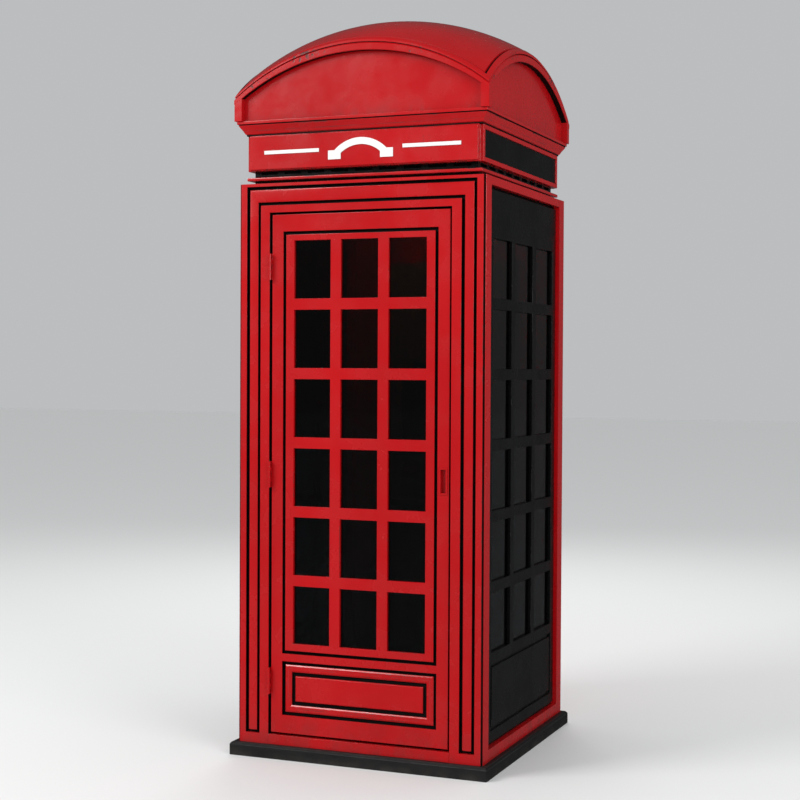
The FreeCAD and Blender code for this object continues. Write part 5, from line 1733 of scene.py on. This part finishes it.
    def hoods(self, steps: int = 72) -> None:
        """The moulding over each arched wall.

        At s from -1 to 1 along the wall, a point of the section lies d out from the middle and s times d
        across, so neighbours meet on the diagonal. Its height is the underside's arch at blend 0 and the
        dome at blend 1, and mixes the two between.

        Args:
            steps: how many facets there are along a wall.
        """
        shell, crown, band = Shell(), self.hood_half, self.hood_band
        # paint 1 is painted shadow: the underside of the band and the groove between the band and the dome
        cut = section([
            Corner(0.484, 0.02, 0.0, 1), Corner(0.505, 0.0, 0.0, 1), Corner(band, 0.0, 0.001, 0),
            Corner(crown, 0.06, 0.0008), Corner(crown, 0.62, 0.0, 0), Corner(0.5105, 0.68, 0.0, 1),
            Corner(0.5105, 0.74, 0.0, 0), Corner(band, 0.78, 0.0), Corner(band, 0.96, 0.0, 0),
            Corner(0.509, 1.03, 0.0), Corner(0.499, 1.035, 0.0, 1), Corner(0.495, 0.93, 0.0, 1),
            Corner(0.484, 0.9, 0.0, 1),
        ], closed=True, steps=2)
        s = np.linspace(-1.0, 1.0, steps + 1)
        d, blend = cut.out[:, None], cut.deep[:, None]
        across = s * d
        under = self.arch_centre + np.sqrt(self.arch**2 - across**2)
        top = self.height(s * self.wall_half, np.full_like(s, self.wall_half))
        over = np.minimum(self.height(across, d), top)
        up = np.minimum(under * (1 - blend) + over * blend, top)
        edge = np.clip(cut.wear + np.isin(cut.out, (crown, band)) * 0.6, 0, 1)[:, None]
        for wall in Wall:
            shell.patch(wall.place(across, up, d + 0 * s), True, False, edge, 0.0, cut.paint)
        self._posts(shell)
        stand(shell, "arched_hoods", [RED, PAINTED_SHADOW], "kiosk", ["pediment_hoods"])

    def _posts(self, shell: Shell) -> None:
        """A post at each corner, cut at its top to the underside of the hoods that meet on it.

        The top's height is the arch's at whichever of x and y is nearer the middle, plus 4 mm, so that
        the post runs into the hoods.

        Args:
            shell: where the faces go.
        """
        inner, outer, soft = self.post_inner, self.hood_half - 5e-4, 0.002
        x = np.array([inner, outer, outer, outer - 0.3 * soft, outer - soft, inner])
        y = np.array([inner, inner, outer - soft, outer - 0.3 * soft, outer, outer])
        top = self.arch_centre + np.sqrt(self.arch**2 - np.minimum(x, y) ** 2) + 0.004
        z = np.stack([np.full_like(top, self.springing), top])
        signs = ROUND[:, None, None, :]
        plan = np.stack([x, y], axis=-1)[None, None] * signs
        heights = np.broadcast_to(z[None, :, :, None], (4, 2, 6, 1))
        grid = np.concatenate([np.broadcast_to(plan, (4, 2, 6, 2)), heights], axis=-1)
        shell.patch(grid, False, True)
        shell.cap(grid[:, 0])
        shell.cap(grid[:, 1])


@dataclass
class Cabin:
    """The fittings inside, other than the telephone."""

    globe: float = 0.080
    globe_z: float = 2.224
    conduit_radius: float = 0.0095
    ceiling_half: float = 0.4398
    ceiling_rows: tuple[float, float] = (2.2395, 2.247)
    ceiling_bead: float = 2.2325

    def build(self) -> None:
        """Ceiling, lamp, conduit, backboard, shelf and bolts."""
        self.ceiling()
        self.lamp()
        self.conduit()
        softened("backboard", 0.003, TIMBER, "kiosk", 3)
        softened("parcel_shelf", 0.004, SHELF_TIMBER, "kiosk", 3)
        softened("shelf_brackets", 0.0012, IRON, "kiosk")
        softened("frame_bolts", 0.0008, STEEL, "kiosk")
        softened("hinge_frame_leaves", 0.0008, RED, "kiosk")
        softened("hinge_pins", 0.0006, BRASS, "kiosk")

    def ceiling(self) -> None:
        """A white board held up by a bead round its edge."""
        shell, half, foot, (low, high) = Shell(), self.ceiling_half, self.ceiling_bead, self.ceiling_rows
        shell.block((-half, -half, low), (half, half, high), 0.001)
        seat = low - 1e-4
        cut = section([
            Corner(half, seat), Corner(half, foot, 0.002), Corner(half - 0.010, foot, 0.003),
            Corner(half - 0.016, seat),
        ], closed=True)
        square(shell, cut, 0.0005)
        stand(shell, "ceiling_board", [WHITE], "kiosk", ["ceiling_panel"])

    def lamp(self) -> None:
        """A ribbed collar and a bowl that hangs from it."""
        shell = Shell()
        radii = [0, 0.072, 0.0745, 0.0745, 0.078, 0.080, 0.080, 0.078, 0]
        heights = [2.2242, 2.2242, 2.2245, 2.229, 2.2305, 2.2325, 2.2365, 2.239, 2.239]
        shell.turn(radii, heights, (0, 0, 0), steps=64)
        stand(shell, "lamp_collar", [WHITE], "kiosk", ["lamp_base"])
        shell = Shell()
        angle = np.linspace(-math.pi / 2, 0.0, 19)
        radii = np.append(self.globe * np.cos(angle), [0.0])
        heights = np.append(self.globe_z + self.globe * np.sin(angle), [self.globe_z])
        radii[0] = 0.0
        shell.turn(radii, heights, (0, 0, 0), steps=64)
        stand(shell, "lamp_bowl", [OPAL], "kiosk", ["lamp_globe"])

    def conduit(self) -> None:
        """The pipe, with a bushing at each end and two saddles that clip it."""
        shell, r = Shell(), self.conduit_radius
        low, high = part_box("conduit")
        x, y, foot, head = (low[0] + high[0]) / 2, (low[1] + high[1]) / 2, low[2], high[2]
        pipe = r - 0.0012
        radii = [0, r, r, pipe, *(pipe, r, r, pipe) * 2, pipe, r, r, 0]
        saddles = [1.700, 1.701, 1.719, 1.720, 2.050, 2.051, 2.069, 2.070]
        z = [foot, foot, foot + 0.014, foot + 0.015, *saddles, head - 0.013, head - 0.012, head, head]
        shell.turn(radii, z, (x, y, 0), steps=24)
        stand(shell, "conduit_pipe", [STEEL], "kiosk", ["conduit"])


@dataclass
class Telephone:
    """The coin telephone: case, dial, coin gear, buttons, cradle and handset."""

    dial: tuple[float, float] = (0.045, 1.280)
    button_x: float = 0.100
    button_z: float = 1.150
    grip_z: float = 1.5123
    grip_half: float = 0.095
    grip_y: float = 0.364
    digit_size: float = 0.0095
    digit_ring: float = 0.027
    digit_angle: float = math.radians(30)
    digit_y: float = 0.29745
    digit_half: float = 0.0001

    def build(self) -> None:
        """Builds the case and everything on it."""
        softened("phone_case", 0.002, CASE, "kiosk")
        for node in ("coin_slot_plate", "coin_return_cup", "dial_finger_stop"):
            softened(node, 0.0007, CHROME, "kiosk")
        softened("coin_box_lock", 0.0006, BRASS, "kiosk")
        softened("dial_finger_wheel", 0.0006, CHROME, "dial_wheel")
        softened("handset_cradle", 0.0016, BAKELITE, "kiosk")
        softened("cradle_plunger", 0.001, BAKELITE, "cradle_plunger")
        self.number_plate()
        self.numerals()
        self.buttons()
        self.handset()

    def number_plate(self) -> None:
        """A shallow dished disc with a rolled rim."""
        shell = Shell()
        radii = [0, 0.040, 0.0425, 0.0445, 0.046, 0.046, 0]
        out = [0.2975, 0.2975, 0.2972, 0.2970, 0.2978, 0.302, 0.302]
        shell.turn(radii, out, (self.dial[0], 0, self.dial[1]), "Y", 72, wear=[0, 0, 0, 1, 0.5, 0, 0])
        stand(shell, "dial_plate", [DIAL_WHITE], "kiosk", ["dial_number_plate"])

    def numerals(self) -> None:
        """The digits under the finger holes: 1 to 9 and 0, at 30 degree steps."""
        parts = Shell()
        for step, digit in enumerate("1234567890"):
            angle = self.digit_angle * (step + 1)
            text = bpy.data.curves.new("digit", "FONT")
            text.body, text.size, text.align_x, text.align_y = digit, self.digit_size, "CENTER", "CENTER"
            text.extrude, text.resolution_u = self.digit_half, 4
            writer = bpy.data.objects.new("digit", text)
            drawn = bpy.data.meshes.new_from_object(writer)
            spots = read(drawn.vertices, "co", float, 3).astype(float)
            x = self.dial[0] + self.digit_ring * math.cos(angle) + spots[:, 0]
            z = self.dial[1] + self.digit_ring * math.sin(angle) + spots[:, 1]
            placed = np.stack([x, self.digit_y - spots[:, 2], z], axis=-1)
            parts.gather(placed, [list(p.vertices) for p in drawn.polygons])
            bpy.data.objects.remove(writer)
            bpy.data.meshes.remove(drawn)
        stand(parts, "dial_numerals", [INK], "kiosk")

    def buttons(self) -> None:
        """Two domed buttons in dished collars."""
        collars = Shell()
        for side, name in ((-1, "left"), (1, "right")):
            centre = (side * self.button_x, 0, self.button_z)
            shell = Shell()
            radii = [0, 0.004, 0.0075, 0.0095, 0.0108, 0.011, 0.011, 0.0105, 0]
            out = [0.2848, 0.2847, 0.2843, 0.2840, 0.2848, 0.286, 0.313, 0.314, 0.314]
            shell.turn(radii, out, centre, "Y", 40, wear=[0, 0, 0.4, 1, 0.8, 0, 0, 0, 0])
            body = f"{name}_button"
            stand(shell, f"{name}_button_cap", [CHROME], body, [f"{name}_push_button"])
            radii = [0.0116, 0.0116, 0.0128, 0.015, 0.0172, 0.018, 0.018, 0.0116]
            out = [0.302, 0.2985, 0.2966, 0.2960, 0.2968, 0.2985, 0.302, 0.302]
            collars.turn(radii, out, centre, "Y", 40, wear=[0, 0, 0.6, 1, 0.6, 0, 0, 0])
        stand(collars, "button_rings", [CHROME], "kiosk", ["button_collars"])

    def handset(self) -> None:
        """The grip is a tube that waists in its middle; each end is a turned cup with a domed back."""
        shell = Shell()
        t = np.linspace(-1.0, 1.0, 41)[:, None]
        angle = np.linspace(0.0, 2 * math.pi, 28, endpoint=False)
        thick = 0.0118 - 0.0012 * np.cos(t * math.pi / 2) + 0.0 * angle
        x = t * self.grip_half + 0 * angle
        y = self.grip_y + thick * 1.02 * np.cos(angle)
        z = self.grip_z + thick * np.sin(angle)
        grid = np.stack([x, y, z], axis=-1)
        shell.patch(grid, False, True, wear=0.05)
        shell.cap(grid[[0, -1]])
        ear = [0, 0.016, 0.0175, 0.024, 0.0268, 0.028, 0.028, 0.0268, 0.0262]
        ear += [0.0262, 0.0232, 0.0165, 0.008, 0]
        z = [1.4835, 1.4835, 1.4815, 1.4803, 1.4808, 1.483, 1.4945, 1.496, 1.497]
        z += [1.5045, 1.5125, 1.5175, 1.5198, 1.5203]
        worn = [0, 0, 0, 0.4, 0.6, 0.3, 0, 0.3, 0, 0, 0, 0, 0, 0]
        for side in (-1, 1):
            shell.turn(ear, z, (side * self.grip_half, self.grip_y, 0), steps=44, wear=worn)
        stand(shell, "handset_moulding", [BAKELITE], "handset", ["handset"])


@dataclass
class Studio:
    """The pale floor, the soft lights and the camera."""

    eye: tuple[float, float, float] = (2.363, -5.871, 1.496)
    yaw: float = math.radians(-22.21)
    pitch: float = math.radians(-1.18)
    roll: float = math.radians(0.28)
    lens: float = 70.74
    room_light: float = 0.70
    backdrop: float = 0.52
    mirrored: float = 0.07
    aim: tuple[float, float, float] = (0.0, 0.0, 1.3)
    sky: Colour = (0.96, 0.98, 1.0)
    paper: Colour = (0.8, 0.8, 0.79)
    floor_half: float = 40.0

    def build(self) -> None:
        """Sets the stage."""
        self.floor()
        self.light("key", (-4.6, -5.2, 5.6), size=3.2, power=330.0)
        self.light("fill", (5.4, -3.6, 3.6), size=3.4, power=150.0)
        self.light("rim", (-1.5, 5.0, 5.0), size=3.0, power=110.0, mirrored=False)
        self.room()
        self.camera()

    def room(self) -> None:
        """An even pale room, which shows only dimly in glossy surfaces."""
        world = bpy.data.worlds.new("studio")
        world.use_nodes = True
        w = Wiring(world.node_tree)
        ray = w.add("LightPath").outputs
        seen = w.math("MULTIPLY", ray["Is Camera Ray"], self.room_light - self.backdrop)
        mirrored = w.math("MULTIPLY", ray["Is Glossy Ray"], self.room_light - self.mirrored)
        strength = w.math("SUBTRACT", w.math("SUBTRACT", self.room_light, seen), mirrored)
        sky = world.node_tree.nodes["Background"]
        sky.inputs["Color"].default_value = (*self.sky, 1.0)
        world.node_tree.links.new(strength, sky.inputs["Strength"])
        bpy.context.scene.world = world
        bpy.context.scene.view_settings.view_transform = "Standard"

    def floor(self) -> None:
        """A wide pale floor."""
        mesh = bpy.data.meshes.new("studio_floor")
        corners = np.column_stack([ROUND * self.floor_half, np.zeros(4)])
        mesh.from_pydata(corners.tolist(), [], [(0, 1, 2, 3)])
        floor = placed("studio_floor", mesh)
        paper = bpy.data.materials.new("studio_paper")
        paper.use_nodes = True
        inputs = paper.node_tree.nodes["Principled BSDF"].inputs
        inputs["Base Color"].default_value = (*self.paper, 1.0)
        inputs["Roughness"].default_value = 0.8
        mesh.materials.append(paper)
        floor.visible_glossy = False

    def light(
        self, name: str, place: Sequence[float], size: float, power: float, mirrored: bool = True
    ) -> None:
        """One soft square light, aimed at the booth's middle.

        Args:
            name: the light's name.
            place: where it stands.
            size: the length of its side.
            power: its power in watts.
            mirrored: whether glossy surfaces mirror it.
        """
        lamp = bpy.data.lights.new(name, "AREA")
        lamp.size, lamp.energy = size, power
        holder = placed(name, lamp)
        holder.visible_glossy = mirrored
        holder.location = place
        towards = Vector(self.aim) - Vector(place)
        holder.rotation_euler = towards.to_track_quat("-Z", "Y").to_euler()

    def camera(self) -> None:
        """Places the camera by its eye, its three turns and its lens."""
        data = bpy.data.cameras.new("camera")
        data.lens, data.sensor_width = self.lens, 36.0
        camera = placed("camera", data)
        facing = Matrix.Rotation(-self.yaw, 4, "Z")
        tilt = Matrix.Rotation(math.pi / 2 + self.pitch, 4, "X")
        bank = Matrix.Rotation(self.roll, 4, "Z")
        camera.matrix_world = Matrix.Translation(self.eye) @ facing @ tilt @ bank
        bpy.context.scene.camera = camera


def main() -> None:
    """Dresses every node, builds each sub-assembly over its own nodes, and sets the studio."""
    logging.basicConfig(level=logging.INFO, format="%(name)s: %(message)s")
    for name, node in frame["nodes"].items():
        node.data.materials.clear()
        node.data.materials.append(SLOT_FINISH[SLOTS[name]].material())
    for part in (Base(), FrontFrame(), Sides(), Door(), Top(), Cabin(), Telephone(), Studio()):
        LOG.info("building %s", type(part).__name__)
        part.build()


if __name__ == "__main__":
    main()
